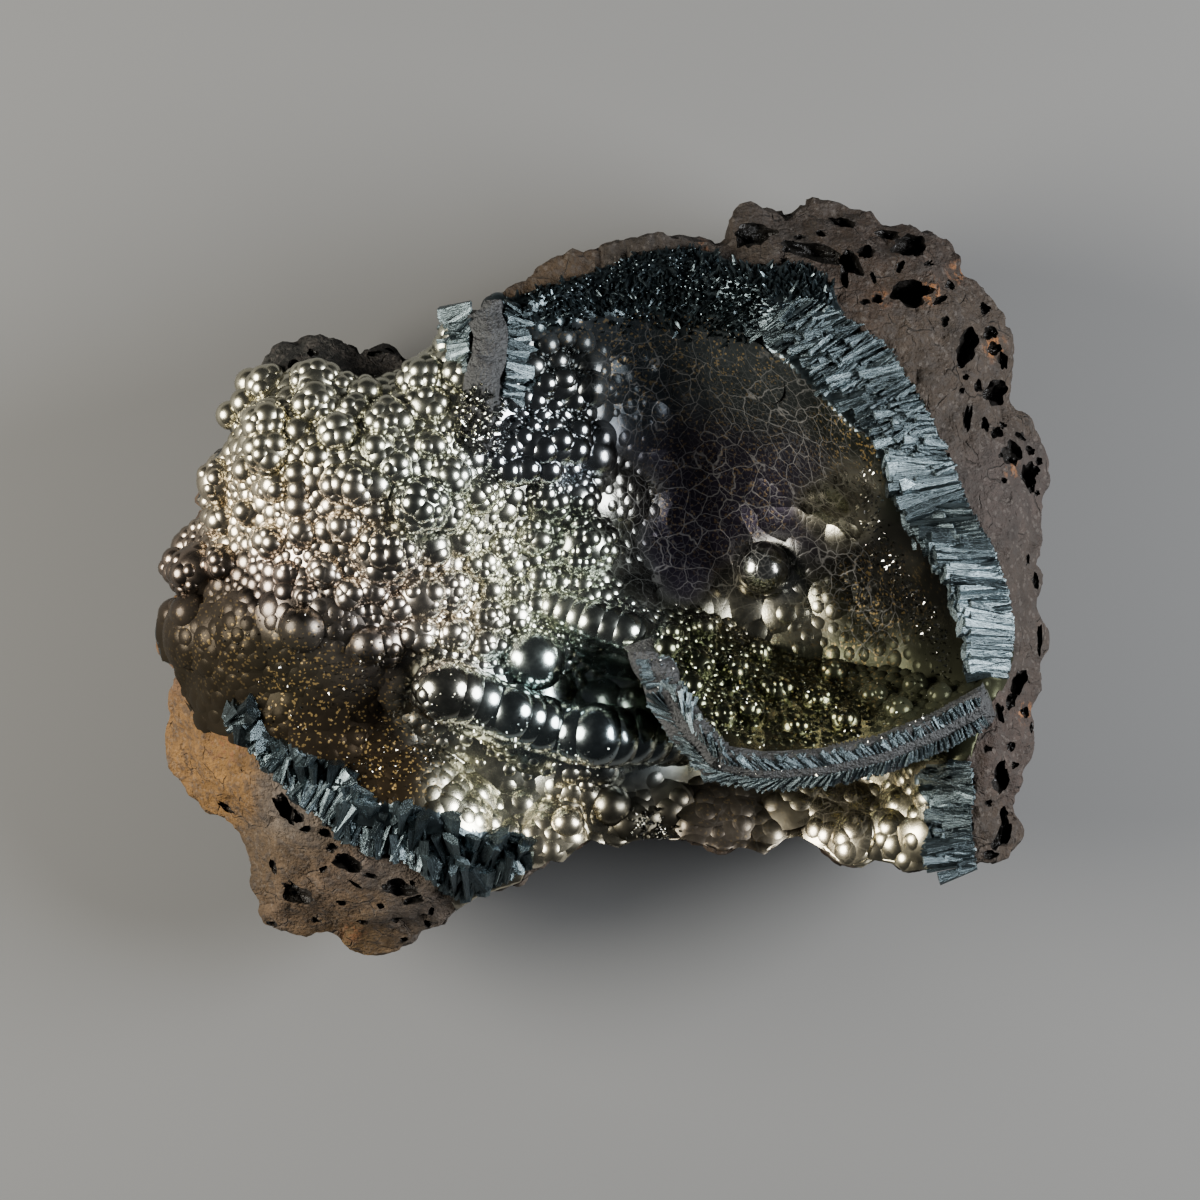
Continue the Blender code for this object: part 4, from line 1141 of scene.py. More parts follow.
# %% The blade setter
FROM_BELOW = (-1.0, -1.0, -1.0)
RANDOM_FLOAT = "FunctionNodeRandomValue data_type=FLOAT"
RANDOM_VECTOR = "FunctionNodeRandomValue data_type=FLOAT_VECTOR"
MULTIPLY = "ShaderNodeMath operation=MULTIPLY"
SCALE = "ShaderNodeVectorMath operation=SCALE"
blade_parts = {
    "curve": ("GeometryNodeMeshToCurve", {"Mesh": "start.Geometry"}),
    "steps": ("GeometryNodeResampleCurve mode=LENGTH", {
        "Curve": "curve.Curve", "Length": "start.Spacing"}),
    "points": ("GeometryNodeCurveToPoints mode=EVALUATED", {"Curve": "steps.Curve"}),
    "away": (RANDOM_VECTOR, {"Min": FROM_BELOW}),
    "roll": (RANDOM_FLOAT, {3: 2 * math.pi}),
    "wide": (RANDOM_FLOAT, {2: 0.55, 3: 1.45}),
    "stretch": (RANDOM_FLOAT, {2: "start.Shortest", 3: 1.06}),
    "move": (RANDOM_VECTOR, {"Min": FROM_BELOW}),
    "shade": (RANDOM_FLOAT, {}),
    "shift": (SCALE, {0: "move.0", "Scale": "start.Scatter"}),
    "placed": ("GeometryNodeSetPosition", {"Geometry": "points.Points", "Offset": "shift.Vector"}),
    # The blade's axis is the run, tipped a little, with a roll of its own.
    "run": ("GeometryNodeInputNamedAttribute data_type=FLOAT_VECTOR", {"Name": "run"}),
    "length": ("ShaderNodeVectorMath operation=LENGTH", {0: "run.Attribute"}),
    "tilt": (MULTIPLY, {0: "length.Value", 1: "start.Tilt"}),
    "lean": (SCALE, {0: "away.0", "Scale": "tilt.0"}),
    "aim": ("ShaderNodeVectorMath operation=ADD", {0: "run.Attribute", 1: "lean.Vector"}),
    "upright": ("FunctionNodeAlignRotationToVector axis=Z", {"Vector": "aim.Vector"}),
    "twist": ("FunctionNodeAxisAngleToRotation", {"Angle": "roll.1"}),
    "turned": ("FunctionNodeRotateRotation rotation_space=LOCAL", {
        "Rotation": "upright.Rotation", "Rotate By": "twist.Rotation"}),
    "across": (MULTIPLY, {0: "start.Width", 1: "wide.1"}),
    "thin": (MULTIPLY, {0: "across.0", 1: "start.Flatness"}),
    "reach": (MULTIPLY, {0: "length.Value", 1: "stretch.1"}),
    "size": ("ShaderNodeCombineXYZ", {"X": "across.0", "Y": "thin.0", "Z": "reach.0"}),
    "blade": ("GeometryNodeMeshCone", {
        "Vertices": 6, "Radius Top": 0.5, "Radius Bottom": 0.22, "Depth": 1.0}),
    "place": ("GeometryNodeInputPosition", {}),
    "local": ("GeometryNodeStoreNamedAttribute data_type=FLOAT_VECTOR", {
        "Name": "local", "Geometry": "blade.Mesh", "Value": "place.Position"}),
    "plant": ("GeometryNodeInstanceOnPoints", {
        "Points": "placed.Geometry", "Instance": "local.Geometry",
        "Rotation": "turned.Rotation", "Scale": "size.Vector"}),
    "planted": ("GeometryNodeStoreNamedAttribute data_type=FLOAT domain=INSTANCE", {
        "Name": "blade", "Geometry": "plant.Instances", "Value": "shade.1"}),
}
# Each chance draws with a seed of its own, counted up from the tree's.
for number, chance in enumerate(("away", "roll", "wide", "stretch", "move", "shade")):
    blade_parts[chance + " seed"] = ("ShaderNodeMath operation=ADD", {0: "start.Seed", 1: number})
    blade_parts[chance][1]["Seed"] = chance + " seed.0"
setter = geometry_tree(
    "fibre blades", ["Spacing", "Width", "Flatness", "Shortest", "Tilt", "Scatter"], blade_parts)


# %% Guide lines
GUIDE_STEP = 0.4
WOBBLE, WOBBLE_LENGTH = 0.35, 4.0
ROW_SHIFT, STEEPNESS = 0.37, 0.18


def even_line(path, step):
    """Points every step mm along a line given by a few points in mm."""
    path = np.asarray(path, float)
    gaps = np.linalg.norm(np.diff(path, axis=0), axis=1)
    travelled = np.concatenate([[0.0], np.cumsum(gaps)])
    count = max(2, int(travelled[-1] / step) + 1)
    places = np.linspace(0.0, travelled[-1], count)
    return np.column_stack([np.interp(places, travelled, path[:, k]) for k in range(3)])


def guide(name, apex, tips, rows, fan_length, fan_angle, seed):
    """Guide lines whose run attribute points from the apex side to the tips side.

    Each row runs from one share of the way to another, at a lift over the sunk face, or over
    the straight line between the sides where the lines carry heights of their own. The run
    direction swings to and fro along the line, so the blades part into fans."""
    chance = np.random.default_rng(seed)
    start, finish = even_line(apex, GUIDE_STEP), even_line(tips, GUIDE_STEP)
    finish = np.column_stack([
        np.interp(np.linspace(0, 1, len(start)), np.linspace(0, 1, len(finish)), finish[:, k])
        for k in range(3)
    ])
    on_face = not start[:, 2].any()
    travelled = np.arange(len(start)) * GUIDE_STEP
    places, runs, edges = [], [], []
    for row, (first_share, last_share, lift) in enumerate(rows):
        foot = start + (finish - start) * first_share
        head = start + (finish - start) * last_share
        if on_face:
            foot[:, 2] = bed_height(foot[:, :2])
            head[:, 2] = bed_height(head[:, :2])
        run = head - foot
        wobble = WOBBLE * cloud(travelled[:, None] * (1.0, 0.0, 0.0), WOBBLE_LENGTH, seed)
        phase = travelled / fan_length + wobble + ROW_SHIFT * row
        swing = (phase % 1.0 - 0.5) * 2.0 * math.radians(fan_angle)
        steep = chance.uniform(-STEEPNESS, STEEPNESS, int(phase.max()) + 3)[phase.astype(int)]
        cos, sin = np.cos(swing), np.sin(swing)
        turned = np.column_stack([
            run[:, 0] * cos - run[:, 1] * sin,
            run[:, 0] * sin + run[:, 1] * cos,
            run[:, 2] + steep * np.hypot(run[:, 0], run[:, 1]),
        ])
        first = sum(len(p) for p in places)
        places.append(foot + (0.0, 0.0, lift))
        runs.append(turned)
        edges += [(first + k, first + k + 1) for k in range(len(start) - 1)]
    mesh = bpy.data.meshes.new(name)
    mesh.from_pydata((np.concatenate(places) * MM).tolist(), edges, [])
    store(mesh, "run", "FLOAT_VECTOR", "POINT", np.concatenate(runs) * MM)
    return add_object(name, mesh)


def blades(name, apex, tips, rows, spacing, width, seed, flatness=0.6, shortest=0.55,
           tilt=0.05, scatter=0.15, fan_length=5.0, fan_angle=12.0):
    line = guide(name, apex, tips, rows, fan_length, fan_angle, seed)
    made = run_tree(line, setter, {
        "Spacing": spacing * MM, "Width": width * MM, "Flatness": flatness,
        "Shortest": shortest, "Tilt": tilt, "Scatter": scatter * MM, "Seed": seed,
    })
    bpy.data.objects.remove(line)
    made.name = made.data.name = name
    return made


# %% Set the blades
def level(line):
    """A line of picture points in mm, with its height left to the face."""
    return np.column_stack([on_plan(line), np.zeros(len(line))])


skin_side, rock_side = (level(line) for line in RIGHT_BAND)
rows = [(0.0, 0.4, 0.3), (0.2, 0.62, 0.5), (0.5, 0.95, 0.5), (0.0, 0.5, 0.8), (0.45, 0.98, 0.8),
        (0.25, 0.7, 1.1)]
fibres = [blades(
    "rim_fibres_rough", rock_side[:9], skin_side[:9], rows, spacing=0.5, width=1.1, seed=30,
    flatness=0.45, tilt=0.16, scatter=0.4, fan_length=4.0, fan_angle=20.0)]
rows = [(0.0, 1.0, 0.2), (0.0, 0.98, 0.55), (0.4, 1.0, 0.7), (0.02, 1.0, 0.9)]
fibres.append(blades(
    "rim_fibres", rock_side[7:], skin_side[7:], rows, spacing=0.95, width=2.3, seed=31,
    flatness=0.5, tilt=0.07, fan_length=6.0, shortest=0.85))
skin_side, rock_side = (level(line) for line in LOWER_LEFT_BAND)
rows = [(0.0, 0.55, 0.4), (0.2, 0.8, 0.8), (0.5, 1.02, 0.7), (0.0, 0.7, 1.1), (0.4, 1.0, 1.3)]
fibres.append(blades(
    "corner_fibres", rock_side, skin_side, rows, spacing=1.25, width=3.2, seed=32,
    flatness=0.42, tilt=0.22, scatter=0.5, fan_length=6.5, fan_angle=26.0, shortest=0.7))
fibres.append(blades(
    "corner_splinters", rock_side, skin_side, rows[1:4], spacing=0.6, width=1.2, seed=36,
    tilt=0.2, scatter=0.5, fan_length=6.5, fan_angle=26.0))
skin_side, rock_side = (level(line) for line in CORNER_BAND)
rows = [(0.0, 1.0, 0.2), (0.0, 0.6, 0.7), (0.35, 1.0, 0.8)]
fibres.append(blades(
    "foot_fibres", rock_side, skin_side, rows, spacing=0.8, width=1.7, seed=33,
    flatness=0.5, tilt=0.1, fan_length=5.0, fan_angle=18.0))

shares = np.linspace(0.02, 0.98, 40)
core, upper = ledge_frame(shares, shares * 0)
outward = core - ledge_frame(shares, shares * 0 + 0.03)[0]
outward /= np.linalg.norm(outward, axis=1, keepdims=True)
half = LEDGE_THICKNESS / 2
for name, side, seed in (("ledge_fibres_above", 1.0, 34), ("ledge_fibres_below", -1.0, 35)):
    apex = core + upper * side * half * 0.30 + outward * 0.25
    tips = core + upper * side * half * 1.04 - outward * 0.1
    rows = [(0.0, 1.0, 0.0), (0.0, 0.9, -0.3), (0.1, 1.0, -0.6)]
    fibres.append(blades(
        name, apex, tips, rows, spacing=0.55, width=0.85, seed=seed,
        flatness=0.5, fan_length=2.6, fan_angle=16.0, tilt=0.12, shortest=0.7, scatter=0.1))
# The curtain's two broken sides, left and right of its grey core.
CURTAIN_SIDES = [
    ([(472, 306, 41.2), (470, 345, 43), (468, 372, 43.6)],
     [(448, 328, 38.5), (446, 352, 40), (450, 378, 40.5)]),
    ([(506, 304, 40.8), (508, 345, 42.6), (504, 396, 43.6)],
     [(534, 310, 36.5), (536, 345, 38.5), (526, 398, 40.5)]),
]
for number, (apex, tips) in enumerate(CURTAIN_SIDES):
    rows = [(0.0, 1.0, 0.2), (0.0, 0.8, -0.6), (0.2, 1.0, -1.2), (0.4, 1.2, -1.8)]
    fibres.append(blades(
        f"curtain_fibres_{number + 1}", in_mm(apex), in_mm(tips), rows, spacing=0.7, width=1.7,
        seed=37 + number, flatness=0.45, tilt=0.16, fan_length=4.0, fan_angle=24.0, shortest=0.7))
print("blades:", {obj.name: triangles(obj) for obj in fibres})

# %% [markdown]
# ## Porous limonite
#
# The limonite is a dull, fine-grained rock that broke unevenly and is full of small cavities.
# Noise at three sizes, pushed out along the normals, makes the break. The cavities are cut: each
# is a ball stretched, turned and crumpled by noise, and all of them are taken out with one
# Boolean, which leaves the sharp lips that a displaced dent would lose.

# %% Pits
PIT_LIFT = 0.4
# Picture point, half length, half width, turn in degrees, depth in mm.
PITS = [
    (752, 234, 22, 12, 15, 5), (812, 252, 28, 9, -14, 5), (850, 262, 14, 10, -60, 5),
    (908, 244, 18, 12, 20, 5), (910, 294, 25, 13, 5, 7), (968, 345, 20, 10, 65, 6),
    (994, 392, 17, 13, 45, 6), (1012, 454, 11, 13, 20, 5), (1030, 476, 9, 14, 10, 5),
    (1018, 682, 9, 17, -25, 5), (1000, 778, 10, 16, -10, 5), (1002, 838, 14, 9, 60, 4),
    (284, 808, 17, 9, -45, 5), (345, 862, 16, 9, -25, 4), (292, 896, 18, 12, -30, 4),
    (398, 890, 18, 9, -5, 4), (842, 220, 13, 8, -10, 4), (790, 246, 10, 6, 30, 3),
    (843, 276, 5, 14, 10, 3), (866, 252, 10, 8, 0, 4), (889, 233, 13, 5, -5, 3),
    (917, 247, 10, 12, 0, 4), (762, 268, 7, 3, -10, 2), (783, 261, 5, 4, 0, 2),
    (872, 278, 3, 6, 20, 2), (863, 304, 5, 3, 0, 2), (876, 301, 6, 6, 0, 2),
    (963, 357, 7, 12, -20, 4), (992, 332, 8, 7, 0, 3), (996, 348, 9, 7, 30, 3),
    (964, 378, 4, 3, 0, 2), (978, 387, 5, 7, 0, 3), (960, 392, 3, 3, 0, 2),
    (966, 418, 4, 14, -12, 3), (983, 425, 5, 8, 0, 3), (995, 433, 8, 6, 30, 3),
    (1003, 425, 4, 4, 0, 2), (1032, 450, 6, 5, 0, 2), (1040, 461, 4, 4, 0, 2),
    (1032, 489, 4, 6, 0, 2), (1038, 493, 3, 3, 0, 2), (1003, 481, 4, 3, 0, 2),
    (1000, 456, 4, 3, 0, 2), (1040, 640, 4, 16, 0, 3), (1009, 700, 7, 9, -30, 3),
    (999, 712, 6, 9, 20, 3), (1025, 712, 5, 6, 0, 2), (985, 748, 5, 4, 0, 2),
    (1010, 746, 5, 5, 0, 2), (988, 803, 4, 4, 0, 2), (1004, 818, 5, 16, 5, 3),
    (990, 855, 9, 5, 0, 2), (296, 817, 9, 7, -45, 4), (306, 829, 6, 4, 0, 2),
    (325, 833, 7, 5, -20, 3), (331, 848, 6, 5, 0, 2), (354, 868, 8, 6, -20, 3),
    (370, 876, 7, 3, -15, 2), (412, 886, 3, 7, 10, 2), (355, 886, 9, 2, -35, 2),
    (411, 902, 14, 5, 20, 3), (395, 924, 8, 4, 15, 2), (380, 908, 4, 3, 0, 2),
    (401, 945, 5, 4, 0, 2), (425, 928, 5, 5, 0, 2), (430, 915, 4, 5, 0, 2),
    (270, 870, 4, 8, 10, 2), (220, 810, 10, 4, -30, 3), (265, 930, 6, 4, 0, 2),
    (940, 300, 9, 4, 30, 2), (952, 285, 6, 5, 0, 2), (930, 262, 7, 4, 20, 3),
    (944, 322, 5, 6, 0, 2), (986, 306, 6, 8, 30, 3), (1004, 360, 5, 9, 0, 3),
    (1022, 436, 7, 4, -30, 2), (1037, 470, 4, 5, 0, 2), (1028, 560, 3, 6, 0, 2),
    (1036, 580, 4, 8, 0, 2), (1034, 728, 4, 8, 0, 2), (1014, 765, 5, 4, 0, 2),
    (820, 232, 9, 4, -25, 2), (800, 236, 6, 4, 15, 2), (900, 266, 7, 4, 60, 2),
    (374, 352, 9, 3, 10, 2), (310, 352, 8, 4, -20, 2), (340, 905, 5, 3, 0, 2),
    (322, 870, 5, 3, 40, 2), (360, 925, 6, 3, -10, 2), (312, 925, 6, 3, 0, 2),
]


def pit_mesh(row, number):
    x, y, length, width, turn, depth = row
    plan = on_plan([(x, y)])
    places, faces = TEMPLATES[3]
    crumple = 1.0 + 0.34 * cloud(places * 1.3 + number, 0.9, 5)
    crumple += 0.30 * cloud(places * 1.3 + number, 0.45, 6)
    places = places * crumple[:, None] * (length * MM_PER_POINT, width * MM_PER_POINT, depth * 0.8)
    cos, sin = math.cos(math.radians(turn)), math.sin(math.radians(turn))
    turned = np.column_stack([
        places[:, 0] * cos - places[:, 1] * sin, places[:, 0] * sin + places[:, 1] * cos,
        places[:, 2],
    ])
    return turned + (*plan[0], front_height(plan)[0] + PIT_LIFT), faces


def back_pits(count, seed):
    """Cavities scattered over the sides and the back: a place on the limonite and a size."""
    chance = np.random.default_rng(seed)
    places, normals = coordinates(matrix.data) / MM, vertex_normals(matrix.data)
    low = np.flatnonzero((normals[:, 2] < 0.25) & (places[:, 2] > 1.5) & (places[:, 2] < 40.0))
    edge = edge_distance(places[low][:, :2], ROCK_OUTLINE)
    low = low[edge < 14.0]
    made = []
    for index in chance.choice(low, count, replace=False):
        unit, faces = TEMPLATES[3]
        size = chance.uniform(0.5, 1.0) ** 2 * 2.6
        shape = unit * (1.0 + 0.3 * cloud(unit * 1.3 + index, 0.9, 6))[:, None]
        shape = shape * size * chance.uniform(0.6, 1.3, 3)
        made.append((shape @ random_turn().T + places[index], faces))
    return made


# %% Break and pit the limonite
def broken(obj, coarse, fine, seed):
    """Pushes the open rock in and out; the bed under the crust and the resting flat stay."""
    places, normals = coordinates(obj.data) / MM, vertex_normals(obj.data)
    under = inside(places[:, :2], CRUST_OUTLINE) & (normals[:, 2] > 0.3)
    deep = under & (places[:, 2] < front_height(places[:, :2]) - 2.5)
    flat = (places[:, 2] < 0.3) & (normals[:, 2] < -0.8)
    open_rock = (~deep & ~flat).astype(float)
    side = 0.45 + 0.55 * smooth_step((0.6 - normals[:, 2]) / 0.5)
    push = coarse * side * (cloud(places, 6.0, seed) + 0.5 * cloud(places, 2.6, seed + 1))
    push += fine * (cloud(places, 1.3, seed + 2) + 0.6 * cloud(places, 0.7, seed + 3))
    push += 0.9 * coarse * side * (np.abs(cloud(places, 4.2, seed + 4)) - 0.35)
    push -= 0.6 * np.maximum(0.12 - np.abs(cloud(places, 3.0, seed + 5)), 0.0) / 0.12
    push += 0.5 * (np.abs(cloud(places, 2.0, seed + 6)) - 0.3)
    set_coordinates(obj.data, (places + normals * (push * open_rock)[:, None]) * MM)


broken(matrix, 0.75, 0.16, 41)
matrix.data.attributes.new("pit", "FLOAT", "FACE")
cavities = [pit_mesh(row, number) for number, row in enumerate(PITS)] + back_pits(110, 42)
shapes = [mesh_of("pit", places, faces) for places, faces in cavities]
for mesh in shapes:
    store(mesh, "pit", "FLOAT", "FACE", np.ones(len(mesh.polygons)))
matrix = merged(matrix, shapes, "DIFFERENCE")
print("limonite with", len(shapes), "pits:", triangles(matrix), "triangles")

# %% [markdown]
# ## Druse
#
# Here and there the skin is dusted with tiny crystals that glitter: on the ledge, on the slope
# inside the right rim, along the ridge's underside and on the dark lumps at the lower left. A
# second sowing tree sets small four-sided points on the masked faces, tipped at random, so that
# every few of them has a facet turned to a light.


# %% The crystal sower
dusting = geometry_tree("druse", ["Density", "Small", "Large", "Tip", "Slender"], {
    "mask": ("GeometryNodeInputNamedAttribute data_type=FLOAT", {"Name": "druse"}),
    "thick": (MULTIPLY, {0: "start.Density", 1: "mask.Attribute"}),
    "spread": ("GeometryNodeDistributePointsOnFaces distribute_method=RANDOM", {
        "Mesh": "start.Geometry", "Density": "thick.0", "Seed": "start.Seed"}),
    "size": (RANDOM_FLOAT, {2: "start.Small", 3: "start.Large", "Seed": "start.Seed"}),
    "tip back": (MULTIPLY, {0: "start.Tip", 1: -1.0}),
    "least": ("ShaderNodeCombineXYZ", {"X": "tip back.0", "Y": "tip back.0", "Z": -math.pi}),
    "most": ("ShaderNodeCombineXYZ", {"X": "start.Tip", "Y": "start.Tip", "Z": math.pi}),
    "angles": (RANDOM_VECTOR, {"Min": "least.Vector", "Max": "most.Vector", "Seed": "start.Seed"}),
    "tipped": ("FunctionNodeEulerToRotation", {"Euler": "angles.0"}),
    "turned": ("FunctionNodeRotateRotation rotation_space=LOCAL", {
        "Rotation": "spread.Rotation", "Rotate By": "tipped.Rotation"}),
    "crystal": ("GeometryNodeMeshCone", {
        "Vertices": 4, "Radius Top": 0.15, "Radius Bottom": 0.5, "Depth": 1.0}),
    "long": (MULTIPLY, {0: "size.1", 1: "start.Slender"}),
    "scale": ("ShaderNodeCombineXYZ", {"X": "size.1", "Y": "size.1", "Z": "long.0"}),
    "planted": ("GeometryNodeInstanceOnPoints", {
        "Points": "spread.Points", "Instance": "crystal.Mesh", "Rotation": "turned.Rotation",
        "Scale": "scale.Vector"}),
})


def crystals(name, obj, mask, density, sizes, seed, tip=0.7, slender=1.2):
    """Crystals on the masked faces of obj; density is in crystals for each square mm."""
    store(obj.data, "druse", "FLOAT", "FACE", mask)
    made = run_tree(obj, dusting, {
        "Density": density / MM**2, "Small": sizes[0] * MM, "Large": sizes[1] * MM,
        "Tip": tip, "Slender": slender, "Seed": seed,
    })
    obj.data.attributes.remove(obj.data.attributes["druse"])
    made.name = made.data.name = name
    return made


# %% Dust the skin
RIM_DRUSE = [(866, 470, 8, 0.6), (868, 490, 9, 0.8), (870, 505, 11, 1), (872, 525, 12, 1),
             (880, 545, 13, 1), (890, 565, 13, 1), (900, 582, 13, 1), (912, 600, 13, 1),
             (924, 618, 13, 1), (934, 636, 13, 1), (940, 655, 12, 1), (942, 672, 10, 1)]
CURTAIN_DRUSE = [(480, 425, 26, 1), (470, 400, 16, 1), (492, 450, 14, 1)]
FOOT_DRUSE = [(640, 826, 18, 1), (662, 832, 16, 1), (650, 834, 16, 1)]
DARK_DRUSE = [(330, 640, 40, 0.5), (370, 670, 40, 0.6), (300, 690, 40, 0.4), (400, 745, 40, 0.8),
              (440, 760, 34, 0.9), (380, 770, 34, 0.7), (250, 640, 30, 0.3)]
RIDGE_DRUSE = [(440, 705, 26, 0.5), (480, 725, 24, 0.8), (520, 735, 22, 1), (560, 752, 20, 0.8),
               (440, 665, 20, 0.5), (600, 765, 20, 0.5)]


def free_places(obj):
    return face_places(obj.data), open_face(obj, 4.0)


druse = []
lining, low_lining = beds["hollow_lining"], beds["lower_lining"]
places, free = free_places(lining)
druse.append(crystals("rim_druse", lining, spots(places, RIM_DRUSE) * free,
    density=2.2, sizes=(0.14, 0.42), seed=51))
places, free = free_places(low_lining)
druse.append(crystals("foot_druse", low_lining, spots(places, FOOT_DRUSE) * free,
    density=3.0, sizes=(0.3, 0.7), seed=52))
mask = np.maximum(spots(places, DARK_DRUSE), spots(places, RIDGE_DRUSE)) * free
druse.append(crystals("dark_druse", low_lining, mask,
    density=1.6, sizes=(0.14, 0.34), seed=53))
upward = face_normals(ledge.data)[:, 2] > 0.2
druse.append(crystals("ledge_druse", ledge, upward,
    density=0.5, sizes=(0.12, 0.30), seed=54))
places = face_places(curtain.data)
mask = spots(places, CURTAIN_DRUSE) * (face_normals(curtain.data)[:, 2] > -0.2)
druse.append(crystals("curtain_druse", curtain, mask,
    density=4.0, sizes=(0.4, 0.9), seed=55))
places, free = free_places(lining)
VELVET = [(560, 285, 40, 1), (620, 275, 44, 1), (680, 280, 44, 1), (740, 295, 40, 1),
          (800, 285, 34, 1)]
velvet = crystals("velvet_fibres", lining, spots(places, VELVET) * free, density=4.5,
    sizes=(0.3, 0.8), seed=56, tip=0.5, slender=1.8)
fibres.append(velvet)
print("druse:", {obj.name: triangles(obj) for obj in druse + [velvet]})

# %% [markdown]
# ## Exact shading on the balls
#
# The union left each ball's faces marked with its number. Their shading normals can therefore be
# those of the perfect sphere, whatever the facets, and the creases between balls stay sharp.

# %% Finish the skins
CAD_LOW, CAD_HIGH = (np.array(corner) / MM for corner in cad_box)
BOX_MARGIN = 0.02
# A corner belongs to its ball while its distance from the middle is this near the radius.
ROUNDNESS = 0.02


def kept_in_box(obj):
    """Holds the piece inside the box of the solids."""
    values = coordinates(obj.data) / MM
    held = np.clip(values, CAD_LOW + BOX_MARGIN, CAD_HIGH - BOX_MARGIN)
    print(obj.name, "places held in the box:", int((held != values).any(axis=1).sum()))
    set_coordinates(obj.data, held * MM)


def corner_faces(mesh):
    """The face that each corner belongs to."""
    total = read(mesh.polygons, "loop_total", 1, np.int32)
    return np.repeat(np.arange(len(total)), total)


def sharp_between_balls(mesh):
    numbers, face = face_numbers(mesh), corner_faces(mesh)
    edge = read(mesh.loops, "edge_index", 1, np.int32)
    low = np.full(len(mesh.edges), 10**7)
    high = np.full(len(mesh.edges), -10)
    np.minimum.at(low, edge, numbers[face])
    np.maximum.at(high, edge, numbers[face])
    mesh.edges.foreach_set("use_edge_sharp", low != high)


def sphere_shading(obj):
    mesh = obj.data
    mesh.polygons.foreach_set("use_smooth", np.ones(len(mesh.polygons), bool))
    sharp_between_balls(mesh)
    numbers, face = face_numbers(mesh), corner_faces(mesh)
    vertex = read(mesh.loops, "vertex_index", 1, np.int32)
    normals = read(mesh.corner_normals, "vector", 3)
    balls = np.array(BALLS)
    on_ball = numbers[face] >= 0
    number = numbers[face[on_ball]]
    away = coordinates(mesh)[vertex[on_ball]] / MM - balls[number, :3]
    length = np.linalg.norm(away, axis=1, keepdims=True)
    true = away / np.maximum(length, 1e-6)
    lies_on = np.abs(length[:, 0] / balls[number, 3] - 1.0) < ROUNDNESS
    kept = normals[on_ball]
    kept[lies_on] = true[lies_on]
    normals[on_ball] = kept
    mesh.normals_split_custom_set(normals)
    print(obj.name, "corners on balls:", int(lies_on.sum()), "of", len(normals))


skins = [*beds.values(), ledge, curtain]
for obj in skins:
    kept_in_box(obj)
    sphere_shading(obj)

# %% [markdown]
# ## Tints as vertex colours
#
# The skin's colour wanders over the specimen: champagne on the swell, rose at its lower left,
# sea-green in the middle, violet-black in the hollow, olive on the ledge. A few bright spots in
# the dark hollow are painted highlights. A few soft spots of tint, mixed by distance, are stored
# as a vertex colour. Five more numbers at each vertex say how crackled, dusty, glossy, matt and
# metallic the skin is there. The shaders then add all the fine variation.

# %% Tint maps
# Picture point, radius in points, then the reflected colour there; the bright spots in the hollow
# are painted highlights.
SKIN_TINTS_AND_HIGHLIGHTS = [
    (260, 430, 60, (0.49, 0.46, 0.35)), (330, 400, 60, (0.43, 0.42, 0.34)),
    (400, 420, 60, (0.42, 0.42, 0.34)), (230, 490, 50, (0.49, 0.43, 0.33)),
    (300, 520, 50, (0.48, 0.42, 0.34)), (200, 566, 36, (0.24, 0.19, 0.155)),
    (200, 612, 34, (0.022, 0.018, 0.014)), (265, 622, 40, (0.016, 0.014, 0.010)),
    (335, 632, 36, (0.030, 0.026, 0.021)),
    (280, 580, 40, (0.32, 0.26, 0.23)), (360, 560, 60, (0.46, 0.41, 0.34)),
    (360, 610, 50, (0.40, 0.35, 0.32)), (430, 500, 50, (0.39, 0.41, 0.36)),
    (440, 600, 50, (0.52, 0.47, 0.40)), (500, 560, 50, (0.55, 0.54, 0.43)),
    (480, 640, 40, (0.50, 0.47, 0.39)), (570, 540, 40, (0.33, 0.36, 0.31)),
    (540, 600, 50, (0.47, 0.49, 0.41)), (600, 620, 40, (0.34, 0.37, 0.34)),
    (560, 385, 40, (0.30, 0.32, 0.32)), (540, 450, 46, (0.32, 0.34, 0.36)),
    (562, 330, 40, (0.020, 0.024, 0.027)), (618, 385, 40, (0.012, 0.014, 0.016)),
    (660, 330, 90, (0.013, 0.016, 0.018)), (760, 370, 70, (0.013, 0.015, 0.015)),
    # The bright spots at (620, 495), (832, 495) and (796, 616) are painted highlights in the dark
    # hollow.
    (620, 495, 26, (0.24, 0.24, 0.22)), (690, 500, 70, (0.013, 0.011, 0.017)),
    (770, 490, 60, (0.014, 0.012, 0.018)), (832, 495, 26, (0.50, 0.47, 0.36)),
    (796, 616, 26, (0.50, 0.47, 0.35)), (738, 605, 30, (0.30, 0.28, 0.22)),
    (860, 440, 60, (0.007, 0.008, 0.006)), (880, 600, 60, (0.004, 0.004, 0.0036)),
    (860, 645, 40, (0.0045, 0.0045, 0.0034)), (925, 652, 40, (0.0045, 0.0045, 0.0034)),
    (778, 528, 20, (0.005, 0.004, 0.006)), (766, 568, 24, (0.45, 0.45, 0.42)),
    (230, 640, 60, (0.016, 0.013, 0.009)), (320, 640, 60, (0.014, 0.013, 0.008)),
    (340, 700, 60, (0.013, 0.010, 0.007)), (400, 760, 60, (0.014, 0.010, 0.006)),
    (440, 700, 36, (0.30, 0.30, 0.26)), (540, 720, 60, (0.30, 0.35, 0.35)),
    (620, 740, 50, (0.24, 0.29, 0.31)), (540, 660, 36, (0.44, 0.52, 0.50)),
    (490, 790, 44, (0.62, 0.60, 0.46)), (560, 820, 50, (0.58, 0.53, 0.40)),
    (640, 800, 50, (0.11, 0.10, 0.075)), (740, 810, 60, (0.060, 0.050, 0.040)),
    (830, 820, 44, (0.52, 0.46, 0.34)), (890, 820, 44, (0.46, 0.42, 0.30)),
    (700, 690, 60, (0.13, 0.14, 0.09)), (800, 700, 80, (0.115, 0.12, 0.07)),
    (900, 710, 60, (0.035, 0.037, 0.022)),
]
